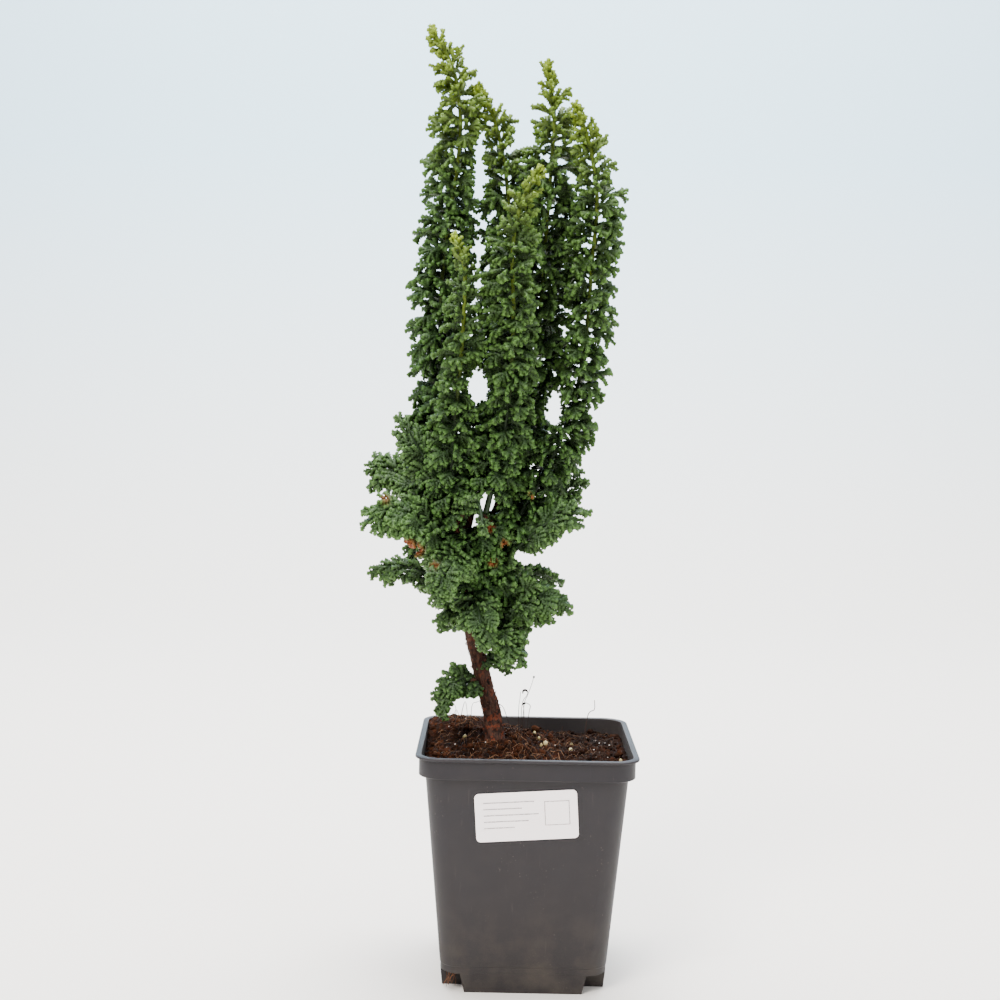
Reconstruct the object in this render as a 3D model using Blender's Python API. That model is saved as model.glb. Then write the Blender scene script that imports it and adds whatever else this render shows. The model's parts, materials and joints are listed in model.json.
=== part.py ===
"""A young hinoki cypress, trained as a bonsai, in its square nursery pot.

Metres, +Z up. The origin is the middle of the pot's underside, +X is to the
right and +Y to the back as the tree is shown. The pot, the soil, the paper
label and the woody trunk are one solid each. Every leafy shoot that stands up
(a plume) and every side spray is a solid of its own: a green stem with the
flat, lobed fans of foliage fused to it.
"""

import math
import random

import bmesh
import bpy
import numpy as np
from mathutils import Matrix, Vector
from mathutils.geometry import tessellate_polygon

MM = 0.001
FIT_GAP = 0.3 * MM

# Pot, from the lip down. A half is measured from the middle to a flat side.
POT_HEIGHT = 120 * MM
LIP_HALF = 55 * MM
LIP_DEPTH = 1.6 * MM
COLLAR_HALF = 53.2 * MM
COLLAR_DEPTH = 10.5 * MM
NECK_HALF = 50 * MM
FOOT_HEIGHT = 9.5 * MM
BODY_BASE_HALF = 41.3 * MM
WALL = 1.2 * MM
LIP_CORNER = 12.5 * MM
COLLAR_CORNER = 12 * MM
BODY_CORNER = 10 * MM
FOOT_ARM_HALF_TOP = 31.3 * MM
FOOT_ARM_HALF_BASE = 29.1 * MM
DRAIN_RADIUS = 4 * MM
CORNER_STEPS = 3

# Label on the front wall.
LABEL_WIDTH = 50 * MM
LABEL_HEIGHT = 24.5 * MM
LABEL_THICK = 0.4 * MM
LABEL_CORNER = 2.2 * MM
LABEL_CENTRE_Z = 91.5 * MM
LABEL_TURN = math.radians(3.9)

# Soil.
SOIL_LEVEL = 112 * MM
SOIL_MOUND = 5 * MM
SOIL_MOUND_REACH = 30 * MM
SOIL_DIP = 4.5 * MM
SOIL_BUMP = 1.1 * MM
SOIL_RINGS = 7

# Every other side of the trunk stands out and the ones between lie deeper by this share.
TRUNK_RIDGE = 0.05

# Points of a fused mesh that bend its surface by less than this are dropped.
DISSOLVE_ANGLE = math.radians(1.5)

# Foliage.
GOLDEN_ANGLE = math.radians(137.508)
FAN_THICK = 1.2 * MM
FAN_ROOT_WIDTH = 1.1 * MM
NODE_CLEARANCE = 1.5 * MM
WOOD_CLEARANCE = 1.8 * MM
SHRINK_STEPS = (1.0, 0.88, 0.76, 0.64, 0.52)
STEM_SIDES = 4
STEM_TIP_RADIUS = 0.9 * MM
PLUME_STEP = 8.8 * MM
PLUME_RISE_TIP = math.radians(38)
PLUME_RISE_LOW = math.radians(60)
PLUME_TAPER_LENGTH = 60 * MM
PLUME_ROLL = 0.8
PLUME_DROOP = 0.4
PLUME_ARCH = 0.45
PLUME_FAN_SPREAD = 1.3
SPRAY_STEP = 6.4 * MM
SPRAY_SPLAY = math.radians(50)
SPRAY_ARCH = 0.2
SPRAY_FAN_SPREAD = 1.15
SPRAY_STEM = 1.3 * MM
SEED = 41

BARK = (0.20, 0.075, 0.04)
SOIL_BROWN = (0.06, 0.032, 0.02)
POT_GREY = (0.075, 0.073, 0.08)
PAPER = (0.86, 0.84, 0.85)
LEAF_GREEN = (0.075, 0.17, 0.05)
LEAF_DEEP = (0.045, 0.125, 0.05)

# Routes are in millimetres and start at the roots' side.
TRUNK_ROUTE = [
    (-16, 8, 86), (-16, 8, 108), (-18, 8, 130), (-22, 6, 145), (-25, 4, 158),
    (-29, 2, 175), (-31, 0, 192), (-33, -1, 210), (-36, 0, 232), (-41, 2, 252),
]
TRUNK_RADII = [5.2, 6.6, 4.5, 4.2, 4.1, 4.0, 3.8, 3.3, 2.5, 1.8]

# Each limb leaves the trunk inside its wood and carries a plume.
LIMB_ROUTES = {
    "limb_b": [(-34, 0, 214), (-32, 5, 228), (-29, 9, 242)],
    "limb_c": [(-33, -1, 208), (-36, -7, 222), (-39, -14, 240)],
    "limb_d": [(-31, 0, 196), (-28, -6, 214), (-23, -12, 236)],
    "limb_e": [(-31, 0, 193), (-25, 3, 216), (-17, 5, 240)],
    "limb_f": [(-29, 2, 180), (-18, 2, 208), (-6, 1, 234)],
}
LIMB_RADII = (2.6, 1.7)

# Plume: route of its stem, radius of its foliage and the stem's radius at its foot.
PLUMES = {
    "plume_a": dict(
        route=[(-41, 2, 252), (-45, 5, 276), (-48, 9, 312), (-48, 12, 350), (-45, 13, 382),
               (-41, 15, 412), (-40, 16, 438), (-44, 15, 461), (-54, 14, 479)],
        reach=17, stem=1.7),
    "plume_b": dict(
        route=[(-29, 9, 242), (-23, 14, 272), (-18, 19, 308), (-15, 22, 345), (-14, 22, 385),
               (-17, 22, 415), (-23, 21, 438), (-31, 20, 451)],
        reach=16, stem=1.6),
    "plume_c": dict(
        route=[(-39, -14, 240), (-40, -20, 264), (-38, -26, 292), (-36, -27, 322), (-35, -27, 347),
               (-36, -26, 360), (-40, -25, 371)],
        reach=15, stem=1.6),
    "plume_d": dict(
        route=[(-23, -12, 236), (-17, -19, 264), (-12, -24, 298), (-11, -26, 333), (-12, -26, 366),
               (-8, -25, 390), (0, -23, 405)],
        reach=16, stem=1.6),
    "plume_e": dict(
        route=[(-17, 5, 240), (-8, 7, 270), (-1, 10, 304), (3, 12, 340), (5, 12, 376),
               (7, 12, 413), (8, 12, 438), (4, 10, 462)],
        reach=17, stem=1.7),
    "plume_f": dict(
        route=[(-6, 1, 234), (8, 0, 260), (20, -1, 290), (26, -3, 326), (28, -4, 362),
               (30, -4, 393), (26, -4, 420), (19, -5, 439)],
        reach=17, stem=1.7),
}

# Spray: the point on its limb that it grows from, the route of its green stem, the way
# its upper side looks, the length of its fans and how far their tips hang (a share of it).
FRONT = (0, -0.8, 0.6)
SPRAYS = {
    "spray_upper_left": dict(
        root=(-36, 0, 230), face=FRONT, fan=15, droop=0.2,
        route=[(-44, 4, 241), (-56, 8, 249), (-68, 10, 255), (-78, 10, 256)]),
    "spray_shoulder_left": dict(
        root=(-38, 1, 240), face=FRONT, fan=15, droop=0.1,
        route=[(-45, -4, 248), (-52, -8, 260), (-58, -10, 269), (-63, -9, 277)]),
    "spray_left_front": dict(
        root=(-33, -1, 212), face=(0.2, -0.7, 0.7), fan=18, droop=0.25,
        route=[(-41, -9, 220), (-52, -18, 230), (-63, -24, 236), (-73, -26, 235)]),
    "spray_left_low": dict(
        root=(-30, 1, 186), face=FRONT, fan=15, droop=0.3,
        route=[(-38, 6, 192), (-50, 11, 200), (-63, 15, 205), (-74, 15, 205)]),
    "spray_centre_front": dict(
        root=(-33, -1, 206), face=(-0.1, -0.4, 0.9), fan=18, droop=0.35,
        route=[(-35, -9, 209), (-38, -21, 214), (-41, -33, 212), (-44, -41, 203)]),
    "spray_low_front": dict(
        root=(-30, 1, 188), face=(0.1, -0.4, 0.9), fan=18, droop=0.35,
        route=[(-29, -8, 189), (-27, -21, 192), (-25, -33, 187), (-24, -40, 177)]),
    "spray_low_left": dict(
        root=(-29, 2, 177), face=FRONT, fan=12, droop=0.35,
        route=[(-34, -4, 181), (-38, -10, 186), (-41, -16, 187), (-43, -20, 184)]),
    "spray_low_right": dict(
        root=(-29, 2, 177), face=FRONT, fan=17, droop=0.25,
        route=[(-20, -1, 181), (-10, -6, 189), (0, -11, 194), (9, -14, 194)]),
    "spray_skirt_right": dict(
        root=(-28, 2, 168), face=(0.3, -0.5, 0.8), fan=15, droop=0.35,
        route=[(-22, -6, 171), (-17, -14, 175), (-12, -21, 175), (-8, -26, 171)]),
    "spray_mid_right": dict(
        root=(-19, 2, 208), face=FRONT, fan=18, droop=0.25,
        route=[(-9, -5, 216), (1, -11, 226), (11, -15, 234), (20, -17, 237)]),
    "spray_upper_right": dict(
        root=(-9, 1, 228), face=(0.5, -0.3, 0.8), fan=14, droop=0.2,
        route=[(0, 6, 231), (9, 10, 237), (16, 12, 244), (21, 11, 252)]),
    "spray_upper_front": dict(
        root=(-37, -10, 231), face=(0.2, -0.4, 0.9), fan=18, droop=0.35,
        route=[(-34, -18, 238), (-30, -29, 244), (-26, -39, 242), (-24, -46, 233)]),
    "spray_trunk_right": dict(
        root=(-25, 4, 158), face=FRONT, fan=9, droop=0.4,
        route=[(-20, 0, 160), (-16, -3, 162), (-13, -6, 161), (-11, -8, 158)]),
    "spray_trunk_left": dict(
        root=(-23, 6, 148), face=(-0.5, -0.8, 0.4), fan=12, droop=0.3,
        route=[(-30, 0, 149), (-36, -4, 150), (-41, -7, 145), (-43, -9, 137)]),
    "spray_back_left": dict(
        root=(-33, -1, 205), face=(-0.3, 0.5, 0.8), fan=18, droop=0.3,
        route=[(-39, 8, 209), (-47, 20, 217), (-54, 30, 220), (-59, 38, 214)]),
    "spray_back_low": dict(
        root=(-30, 0, 190), face=(0, 0.4, 0.9), fan=18, droop=0.35,
        route=[(-28, 10, 192), (-24, 22, 197), (-21, 33, 194), (-19, 41, 186)]),
    "spray_back_right": dict(
        root=(-12, 2, 222), face=(0.2, 0.4, 0.9), fan=18, droop=0.3,
        route=[(-6, 11, 225), (2, 21, 231), (9, 30, 231), (14, 38, 224)]),
    "spray_back_upper": dict(
        root=(-30, 7, 235), face=(0, 0.4, 0.9), fan=18, droop=0.3,
        route=[(-34, 15, 245), (-38, 26, 253), (-42, 36, 253), (-45, 43, 245)]),
    "spray_back_skirt": dict(
        root=(-27, 3, 167), face=(-0.3, 0.5, 0.8), fan=15, droop=0.35,
        route=[(-29, 11, 171), (-34, 21, 178), (-39, 30, 179), (-43, 36, 174)]),
    "spray_right_back": dict(
        root=(-24, 2, 196), face=(0.1, 0.7, 0.7), fan=17, droop=0.3,
        route=[(-15, 8, 197), (-6, 13, 201), (3, 18, 203), (11, 21, 201)]),
}
TWIG_RADII = (1.9, 1.35)


def clear_scene():
    for obj in list(bpy.data.objects):
        bpy.data.objects.remove(obj)


def finish_material(name, colour, roughness):
    """A Principled material; every piece of this object is a non-metal."""
    material = bpy.data.materials.new(name)
    material.use_nodes = True
    shader = material.node_tree.nodes["Principled BSDF"]
    shader.inputs["Base Color"].default_value = (*colour, 1)
    shader.inputs["Roughness"].default_value = roughness
    shader.inputs["Metallic"].default_value = 0
    return material


def mesh_object(name, points, faces, material=None):
    mesh = bpy.data.meshes.new(name)
    mesh.from_pydata([tuple(p) for p in points], [], faces)
    mesh.update()
    obj = bpy.data.objects.new(name, mesh)
    bpy.context.scene.collection.objects.link(obj)
    if material:
        mesh.materials.append(material)
    return obj


def loft(loops):
    """Points and faces of a closed skin over loops of equal length, its two ends capped."""
    count = len(loops[0])
    points = [p for loop in loops for p in loop]
    faces = []
    for level in range(len(loops) - 1):
        for i in range(count):
            a = level * count + i
            b = level * count + (i + 1) % count
            faces.append((a, b, b + count, a + count))
    faces.append(tuple(reversed(range(count))))
    last = (len(loops) - 1) * count
    faces.append(tuple(range(last, last + count)))
    return points, faces


def square_loop(half, corner, z, side_steps=1):
    """A square with round corners, counter-clockwise from the front right, seen from above."""
    points = []
    for quarter in range(4):
        turn = Matrix.Rotation(quarter * math.pi / 2, 3, "Z")
        for step in range(CORNER_STEPS + 1):
            angle = step / CORNER_STEPS * math.pi / 2
            x = half - corner + corner * math.sin(angle)
            y = -half + corner - corner * math.cos(angle)
            points.append(turn @ Vector((x, y, z)))
        for step in range(1, side_steps):
            y = (2 * step / side_steps - 1) * (half - corner)
            points.append(turn @ Vector((half, y, z)))
    return points


def ring_loop(middle, radius, z, sides=8):
    """An upright ring of points round the middle at height z, counter-clockwise."""
    angles = [2 * math.pi * (k + 0.5) / sides for k in range(sides)]
    return [Vector((middle.x + radius * math.cos(a), middle.y + radius * math.sin(a), z)) for a in angles]


def body_half(z):
    """Outer half-width of the tapered wall at height z."""
    slope = (NECK_HALF - BODY_BASE_HALF) / (POT_HEIGHT - COLLAR_DEPTH - FOOT_HEIGHT)
    return BODY_BASE_HALF + slope * (z - FOOT_HEIGHT)


def foot_arm(name, inset, base_z, top_z):
    """One bar of the cross-shaped foot, its ends sloping in towards the ground."""
    loops = []
    for z in (base_z, top_z):
        share = z / FOOT_HEIGHT
        across = FOOT_ARM_HALF_BASE + share * (FOOT_ARM_HALF_TOP - FOOT_ARM_HALF_BASE) - inset
        along = body_half(z) - inset
        loops.append([Vector((across, -along, z)), Vector((across, along, z)),
                      Vector((-across, along, z)), Vector((-across, -along, z))])
    return mesh_object(name, *loft(loops))


def fuse(obj, others, operation="UNION", solver="EXACT"):
    """Applies one Boolean between obj and the other solids, then drops them and any loose scrap."""
    helpers = bpy.data.collections.new("helpers")
    bpy.context.scene.collection.children.link(helpers)
    for other in others:
        bpy.context.scene.collection.objects.unlink(other)
        helpers.objects.link(other)
    step = obj.modifiers.new("join", "BOOLEAN")
    step.operation = operation
    step.operand_type = "COLLECTION"
    step.collection = helpers
    step.solver = solver
    graph = bpy.context.evaluated_depsgraph_get()
    mesh = bpy.data.meshes.new_from_object(obj.evaluated_get(graph))
    obj.modifiers.remove(step)
    obj.data = mesh
    for other in list(helpers.objects):
        bpy.data.objects.remove(other)
    bpy.data.collections.remove(helpers)
    clean_mesh(mesh)
    return obj


def clean_mesh(mesh):
    """Drops points that hardly bend the surface, sealed hollows and loose scraps; leaves triangles."""
    bm = bmesh.new()
    bm.from_mesh(mesh)
    bmesh.ops.dissolve_limit(bm, angle_limit=DISSOLVE_ANGLE, verts=bm.verts, edges=bm.edges)
    bmesh.ops.triangulate(bm, faces=bm.faces)
    unseen = set(bm.verts)
    shells = []
    while unseen:
        shell = {unseen.pop()}
        edge_of_search = list(shell)
        while edge_of_search:
            for edge in edge_of_search.pop().link_edges:
                for vert in edge.verts:
                    if vert in unseen:
                        unseen.discard(vert)
                        shell.add(vert)
                        edge_of_search.append(vert)
        shells.append(shell)
    shells.sort(key=len)
    for shell in shells[:-1]:
        bmesh.ops.delete(bm, geom=list(shell), context="VERTS")
    bm.to_mesh(mesh)
    bm.free()


def build_pot(material):
    lip_z = POT_HEIGHT - LIP_DEPTH
    collar_z = POT_HEIGHT - COLLAR_DEPTH
    outside = [
        square_loop(BODY_BASE_HALF, BODY_CORNER, FOOT_HEIGHT),
        square_loop(NECK_HALF, BODY_CORNER, collar_z),
        square_loop(COLLAR_HALF, COLLAR_CORNER, collar_z),
        square_loop(COLLAR_HALF, COLLAR_CORNER, lip_z),
        square_loop(LIP_HALF, LIP_CORNER, lip_z + 0.3 * MM),
        square_loop(LIP_HALF, LIP_CORNER, POT_HEIGHT - 0.3 * MM),
        square_loop(LIP_HALF - 0.4 * MM, LIP_CORNER, POT_HEIGHT),
    ]
    pot = mesh_object("pot", *loft(outside + pot_inside_loops()[::-1]), material)
    arms = [foot_arm("foot_arm", 0, 0, FOOT_HEIGHT + WALL * 0.6) for _ in range(2)]
    arms[1].rotation_euler.z = math.pi / 2
    fuse(pot, arms)
    wells = [foot_arm("foot_well", WALL, WALL, FOOT_HEIGHT + WALL * 2) for _ in range(2)]
    wells[1].rotation_euler.z = math.pi / 2
    drain_at = (FOOT_ARM_HALF_TOP + BODY_BASE_HALF) / 2 - 1 * MM
    for sign_x in (-1, 1):
        for sign_y in (-1, 1):
            middle = Vector((sign_x * drain_at, sign_y * drain_at, 0))
            span = (FOOT_HEIGHT - 2 * MM, FOOT_HEIGHT + 2 * WALL)
            loops = [ring_loop(middle, DRAIN_RADIUS, z) for z in span]
            wells.append(mesh_object("drain", *loft(loops)))
    fuse(pot, wells, "DIFFERENCE")
    return pot


def pot_inside_loops():
    """Loops of the pot's inner wall from the floor up; a ledge sits inside the collar."""
    ledge_z = POT_HEIGHT - COLLAR_DEPTH + WALL
    floor_z = FOOT_HEIGHT + WALL
    return [
        square_loop(body_half(floor_z) - WALL, BODY_CORNER - WALL, floor_z),
        square_loop(body_half(ledge_z) - WALL, BODY_CORNER - WALL, ledge_z),
        square_loop(COLLAR_HALF - WALL, COLLAR_CORNER - WALL, ledge_z),
        square_loop(COLLAR_HALF - WALL, COLLAR_CORNER - WALL, POT_HEIGHT),
    ]


def soil_height(x, y):
    """The soil is mounded round the trunk and over to the left, and has sunk at the back right."""
    trunk_x, trunk_y = TRUNK_ROUTE[1][0] * MM, TRUNK_ROUTE[1][1] * MM
    away = math.hypot(x - trunk_x, y - trunk_y)
    z = SOIL_LEVEL + SOIL_MOUND * math.exp(-((away / SOIL_MOUND_REACH) ** 2))
    z += 5.5 * MM * math.exp(-(((x + 40 * MM) / (26 * MM)) ** 2 + ((y - 40 * MM) / (26 * MM)) ** 2))
    z -= SOIL_DIP * math.exp(-(((x - 34 * MM) / (24 * MM)) ** 2 + ((y - 40 * MM) / (20 * MM)) ** 2))
    lumps = math.sin(x * 410 + 1.3) * math.sin(y * 460 + 0.4) + 0.7 * math.sin(x * 820 - y * 600)
    return z + SOIL_BUMP * lumps


def build_soil(material):
    gap = FIT_GAP
    ledge_z = POT_HEIGHT - COLLAR_DEPTH + WALL + gap
    floor_z = FOOT_HEIGHT + WALL + gap
    side_steps = 4
    wall = [
        square_loop(body_half(floor_z) - WALL - gap, BODY_CORNER - WALL, floor_z, side_steps),
        square_loop(body_half(ledge_z - 2 * gap) - WALL - gap, BODY_CORNER - WALL, ledge_z, side_steps),
        square_loop(COLLAR_HALF - WALL - gap, COLLAR_CORNER - WALL, ledge_z, side_steps),
    ]
    rim = square_loop(COLLAR_HALF - WALL - gap, COLLAR_CORNER - WALL, 0, side_steps)
    hole = trunk_ring(TRUNK_ROUTE[1], TRUNK_RADII[1] * MM * (1 + TRUNK_RIDGE) + 2 * gap, rim)
    top = []
    for ring in range(SOIL_RINGS + 1):
        share = (ring / SOIL_RINGS) ** 0.8
        loop = [Vector((*a.lerp(b, share).xy, 0)) for a, b in zip(rim, hole)]
        for p in loop:
            p.z = max(soil_height(p.x, p.y), ledge_z + 0.8 * MM)
        top.append(loop)
    bottom_z = TRUNK_ROUTE[0][2] * MM - gap
    bore = [Vector((p.x, p.y, bottom_z)) for p in hole]
    soil = mesh_object("soil", *loft(wall + top + [bore]), material)
    arms = [foot_arm("soil_arm", WALL + gap, WALL + gap, FOOT_HEIGHT + 2 * WALL) for _ in range(2)]
    arms[1].rotation_euler.z = math.pi / 2
    return fuse(soil, arms)


def trunk_ring(centre, radius, rim):
    """Points of a circle round the trunk, one for each point of the rim, in the same direction."""
    middle = Vector((centre[0], centre[1], 0)) * MM
    ring = []
    for p in rim:
        way = Vector((p.x - middle.x, p.y - middle.y, 0)).normalized()
        ring.append(middle + way * radius)
    return ring


def build_label(material):
    """A paper sticker with round corners, turned a little on the sloping front wall."""
    outline = []
    for quarter in range(4):
        sx = 1 if quarter in (0, 3) else -1
        sy = 1 if quarter in (0, 1) else -1
        for step in range(4):
            angle = quarter * math.pi / 2 + step / 3 * math.pi / 2
            outline.append((sx * (LABEL_WIDTH / 2 - LABEL_CORNER) + LABEL_CORNER * math.cos(angle),
                            sy * (LABEL_HEIGHT / 2 - LABEL_CORNER) + LABEL_CORNER * math.sin(angle)))
    loops = [[Vector((x, y, z)) for x, y in outline] for z in (0, LABEL_THICK)]
    label = mesh_object("label", *loft(loops), material)
    lean = math.atan2(NECK_HALF - BODY_BASE_HALF, POT_HEIGHT - COLLAR_DEPTH - FOOT_HEIGHT)
    front = Matrix.Rotation(math.pi / 2 + lean, 4, "X") @ Matrix.Rotation(LABEL_TURN, 4, "Z")
    label.matrix_world = Matrix.Translation((0, -body_half(LABEL_CENTRE_Z) - FIT_GAP, LABEL_CENTRE_Z)) @ front
    return label


def smooth_route(route_mm, step):
    """Points about step apart on a Catmull-Rom curve through the route."""
    route = [Vector(p) * MM for p in route_mm]
    ends = [route[0] * 2 - route[1], *route, route[-1] * 2 - route[-2]]
    points = []
    for i in range(1, len(ends) - 2):
        p0, p1, p2, p3 = ends[i - 1:i + 3]
        count = max(1, round((p2 - p1).length / step))
        for k in range(count):
            t = k / count
            points.append(0.5 * (2 * p1 + (p2 - p0) * t + (2 * p0 - 5 * p1 + 4 * p2 - p3) * t * t
                                 + (3 * p1 - p0 - 3 * p2 + p3) * t ** 3))
    points.append(route[-1])
    return points


def frames_along(points, end_way=None):
    """For each point: tangent and two normals that turn as little as they can."""
    frames = []
    normal = None
    for i, p in enumerate(points):
        tangent = (points[min(i + 1, len(points) - 1)] - points[max(i - 1, 0)]).normalized()
        if end_way and i == len(points) - 1:
            tangent = end_way
        if normal is None:
            normal = tangent.orthogonal().normalized()
        normal = (normal - tangent * normal.dot(tangent)).normalized()
        frames.append((p, tangent, normal, tangent.cross(normal)))
    return frames


def tube(name, points, radii, sides, material=None, ridge=0.0, end_way=None):
    """A closed stem over points; ridge makes every other side stand out, as old bark does."""
    loops = []
    for (p, _, n, b), radius in zip(frames_along(points, end_way), radii):
        loop = []
        for k in range(sides):
            angle = 2 * math.pi * k / sides
            r = radius * (1 + ridge * (1 if k % 2 else -1))
            loop.append(p + (n * math.cos(angle) + b * math.sin(angle)) * r)
        loops.append(loop)
    return mesh_object(name, *loft(loops), material)


def blend_radii(values_mm, points, route_mm):
    """Radii given at the route's points, spread by height over the finer points."""
    heights = [p[2] * MM for p in route_mm]
    return [float(np.interp(p.z, heights, [v * MM for v in values_mm])) for p in points]


def build_trunk(material):
    """The trunk, its limbs and the woody foot of every spray, fused to one piece of wood."""
    points = smooth_route(TRUNK_ROUTE, 9 * MM)
    radii = blend_radii(TRUNK_RADII, points, TRUNK_ROUTE)
    way = stop_short(points, PLUMES["plume_a"])
    trunk = tube("trunk_and_limbs", points, radii, 10, material, TRUNK_RIDGE, way)
    others = []
    for name, route in LIMB_ROUTES.items():
        points = smooth_route(route, 13 * MM)
        way = stop_short(points, PLUMES[name.replace("limb", "plume")])
        others.append(tube(name, points, even_radii(LIMB_RADII, points), 6, end_way=way))
    for name, spray in SPRAYS.items():
        points = smooth_route([spray["root"], spray["route"][0]], 6 * MM)
        way = stop_short(points, spray)
        others.append(tube(name + "_twig", points, even_radii(TWIG_RADII, points), 5, end_way=way))
    return fuse(trunk, others)


def even_radii(ends_mm, points):
    """Radii that run evenly from the first to the second end."""
    last = len(points) - 1
    return [(ends_mm[0] + (ends_mm[1] - ends_mm[0]) * i / last) * MM for i in range(last + 1)]


def stop_short(points, shoot):
    """Ends the wood just short of its green shoot, and gives the shoot's first direction."""
    start, after = (Vector(p) for p in shoot["route"][:2])
    way = (after - start).normalized()
    points[-1] = points[-1] - way * FIT_GAP
    return way


class Growth:
    """The routes of all stems, and how much room a point of foliage has between them."""

    def __init__(self):
        self.routes = {name: smooth_route(plume["route"], 12 * MM) for name, plume in PLUMES.items()}
        self.routes.update({name: smooth_route(spray["route"], 7 * MM) for name, spray in SPRAYS.items()})
        wood = [smooth_route(TRUNK_ROUTE, 9 * MM)]
        wood += [smooth_route(route, 13 * MM) for route in LIMB_ROUTES.values()]
        wood += [[Vector(s["root"]) * MM, Vector(s["route"][0]) * MM] for s in SPRAYS.values()]
        radii = [4.6 * MM] + [2.6 * MM] * len(LIMB_ROUTES) + [1.7 * MM] * len(SPRAYS)
        self.segments = {name: self.as_segments(route) for name, route in self.routes.items()}
        self.wood = [(self.as_segments(route), radius) for route, radius in zip(wood, radii)]

    @staticmethod
    def as_segments(route):
        points = np.array(route)
        return points[:-1], points[1:]

    @staticmethod
    def distance(points, segments):
        """Shortest distance from each point to a chain of segments."""
        start, end = segments
        along = end - start
        rel = points[:, None, :] - start[None]
        share = np.clip((rel * along).sum(2) / (along * along).sum(1), 0, 1)
        return np.linalg.norm(rel - share[..., None] * along, axis=2).min(1)

    def has_room(self, name, points):
        points = np.array(points)
        own = self.distance(points, self.segments[name])
        for other, segments in self.segments.items():
            if other != name and (self.distance(points, segments) < own + NODE_CLEARANCE).any():
                return False
        for segments, radius in self.wood:
            if (self.distance(points, segments) < radius + WOOD_CLEARANCE).any():
                return False
        return True


def fan_outline(length, width, flip):
    """The flat outline of a five-lobed fan: u runs along its rib and v across it.

    The first and the last two points are its straight stalk, so the others are the leafy part.
    """
    half_root = FAN_ROOT_WIDTH / 2
    right = [(0, half_root), (0.20 * length, half_root), (0.50 * length, 0.47 * width),
             (0.55 * length, 0.17 * width), (0.84 * length, 0.39 * width)]
    left = [(0, half_root), (0.20 * length, half_root), (0.61 * length, 0.45 * width),
            (0.66 * length, 0.16 * width), (0.94 * length, 0.30 * width)]
    outline = [(u, -v) for u, v in right] + [(1.04 * length, 0)] + left[::-1]
    return [(u, v * flip) for u, v in outline][::flip]


def fan_points(fan, scale, u, v):
    """Places a flat point on the arched fan."""
    length = fan["length"] * scale
    side = fan["face"].cross(fan["heading"])
    hang = Vector((0, 0, -fan["droop"] * length * (u / length) ** 2))
    return fan["root"] + fan["heading"] * u + side * v - fan["face"] * (fan["arch"] * abs(v)) + hang


def fan_solid(name, fan, scale):
    """One arched, lobed blade, split into triangles alike on both faces; its stalk stays four-sided."""
    length = fan["length"] * scale
    outline = fan_outline(length, length * fan["spread"], fan["flip"])
    half = fan["face"] * FAN_THICK / 2
    middle = [fan_points(fan, scale, u, v) for u, v in outline]
    count = len(outline)
    points = [p - half for p in middle] + [p + half for p in middle]
    leaf = range(1, count - 1)
    patches = [(0, 1, count - 2, count - 1)]
    for corners in tessellate_polygon([[Vector((*outline[i], 0)) for i in leaf]]):
        a, b, c = (corner + 1 for corner in corners)
        (ua, va), (ub, vb), (uc, vc) = outline[a], outline[b], outline[c]
        turn = (ub - ua) * (vc - va) - (uc - ua) * (vb - va)
        patches.append((a, b, c) if turn > 0 else (a, c, b))
    faces = [patch[::-1] for patch in patches]
    faces += [tuple(i + count for i in patch) for patch in patches]
    for i in range(count):
        j = (i + 1) % count
        faces.append((i, j, j + count, i + count))
    return mesh_object(name, points, faces)


def fitted_fans(growth, name, fans):
    """The fans with the largest scale that keeps each in its own room; one with no room is left off."""
    kept = []
    for fan in fans:
        for scale in SHRINK_STEPS:
            length = fan["length"] * scale
            outline = fan_outline(length, length * fan["spread"], fan["flip"])[1:-1]
            reach = [fan_points(fan, scale, u, v) for u, v in outline]
            if growth.has_room(name, reach):
                kept.append((fan, scale))
                break
    return kept


def plume_fans(name, plume):
    """Fans up an upright shoot, one golden angle apart, short at the tip and longer lower down."""
    rng = random.Random(SEED + sorted(PLUMES).index(name))
    frames = frames_along(smooth_route(plume["route"], PLUME_STEP))
    tip = frames[-1][0]
    fans = []
    for i, (p, t, n, b) in enumerate(frames[:-1]):
        turn = i * GOLDEN_ANGLE + rng.uniform(-0.25, 0.25)
        size = rng.uniform(0.9, 1.1)
        roll = PLUME_ROLL * (1 if i % 2 else -1) + rng.uniform(-0.4, 0.4)
        young = max(0.0, 1 - (tip - p).length / PLUME_TAPER_LENGTH)
        out = n * math.cos(turn) + b * math.sin(turn)
        rise = PLUME_RISE_LOW + (PLUME_RISE_TIP - PLUME_RISE_LOW) * young
        heading = out * math.sin(rise) + t * math.cos(rise)
        face = (t - heading * t.dot(heading)).normalized()
        face.rotate(Matrix.Rotation(roll, 3, heading))
        fans.append(dict(root=p + t * 3 * MM if i == 0 else p, heading=heading, face=face,
                         flip=1 if i % 4 < 2 else -1, spread=PLUME_FAN_SPREAD, arch=PLUME_ARCH,
                         length=plume["reach"] * MM * size * (1 - 0.6 * young),
                         droop=PLUME_DROOP * (1 - young)))
    t, n = frames[-1][1], frames[-1][2]
    fans.append(dict(root=tip - t * 2 * MM, heading=t, face=n, flip=1, spread=0.8, arch=0.0,
                     length=9 * MM, droop=0.0))
    return fans


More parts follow.
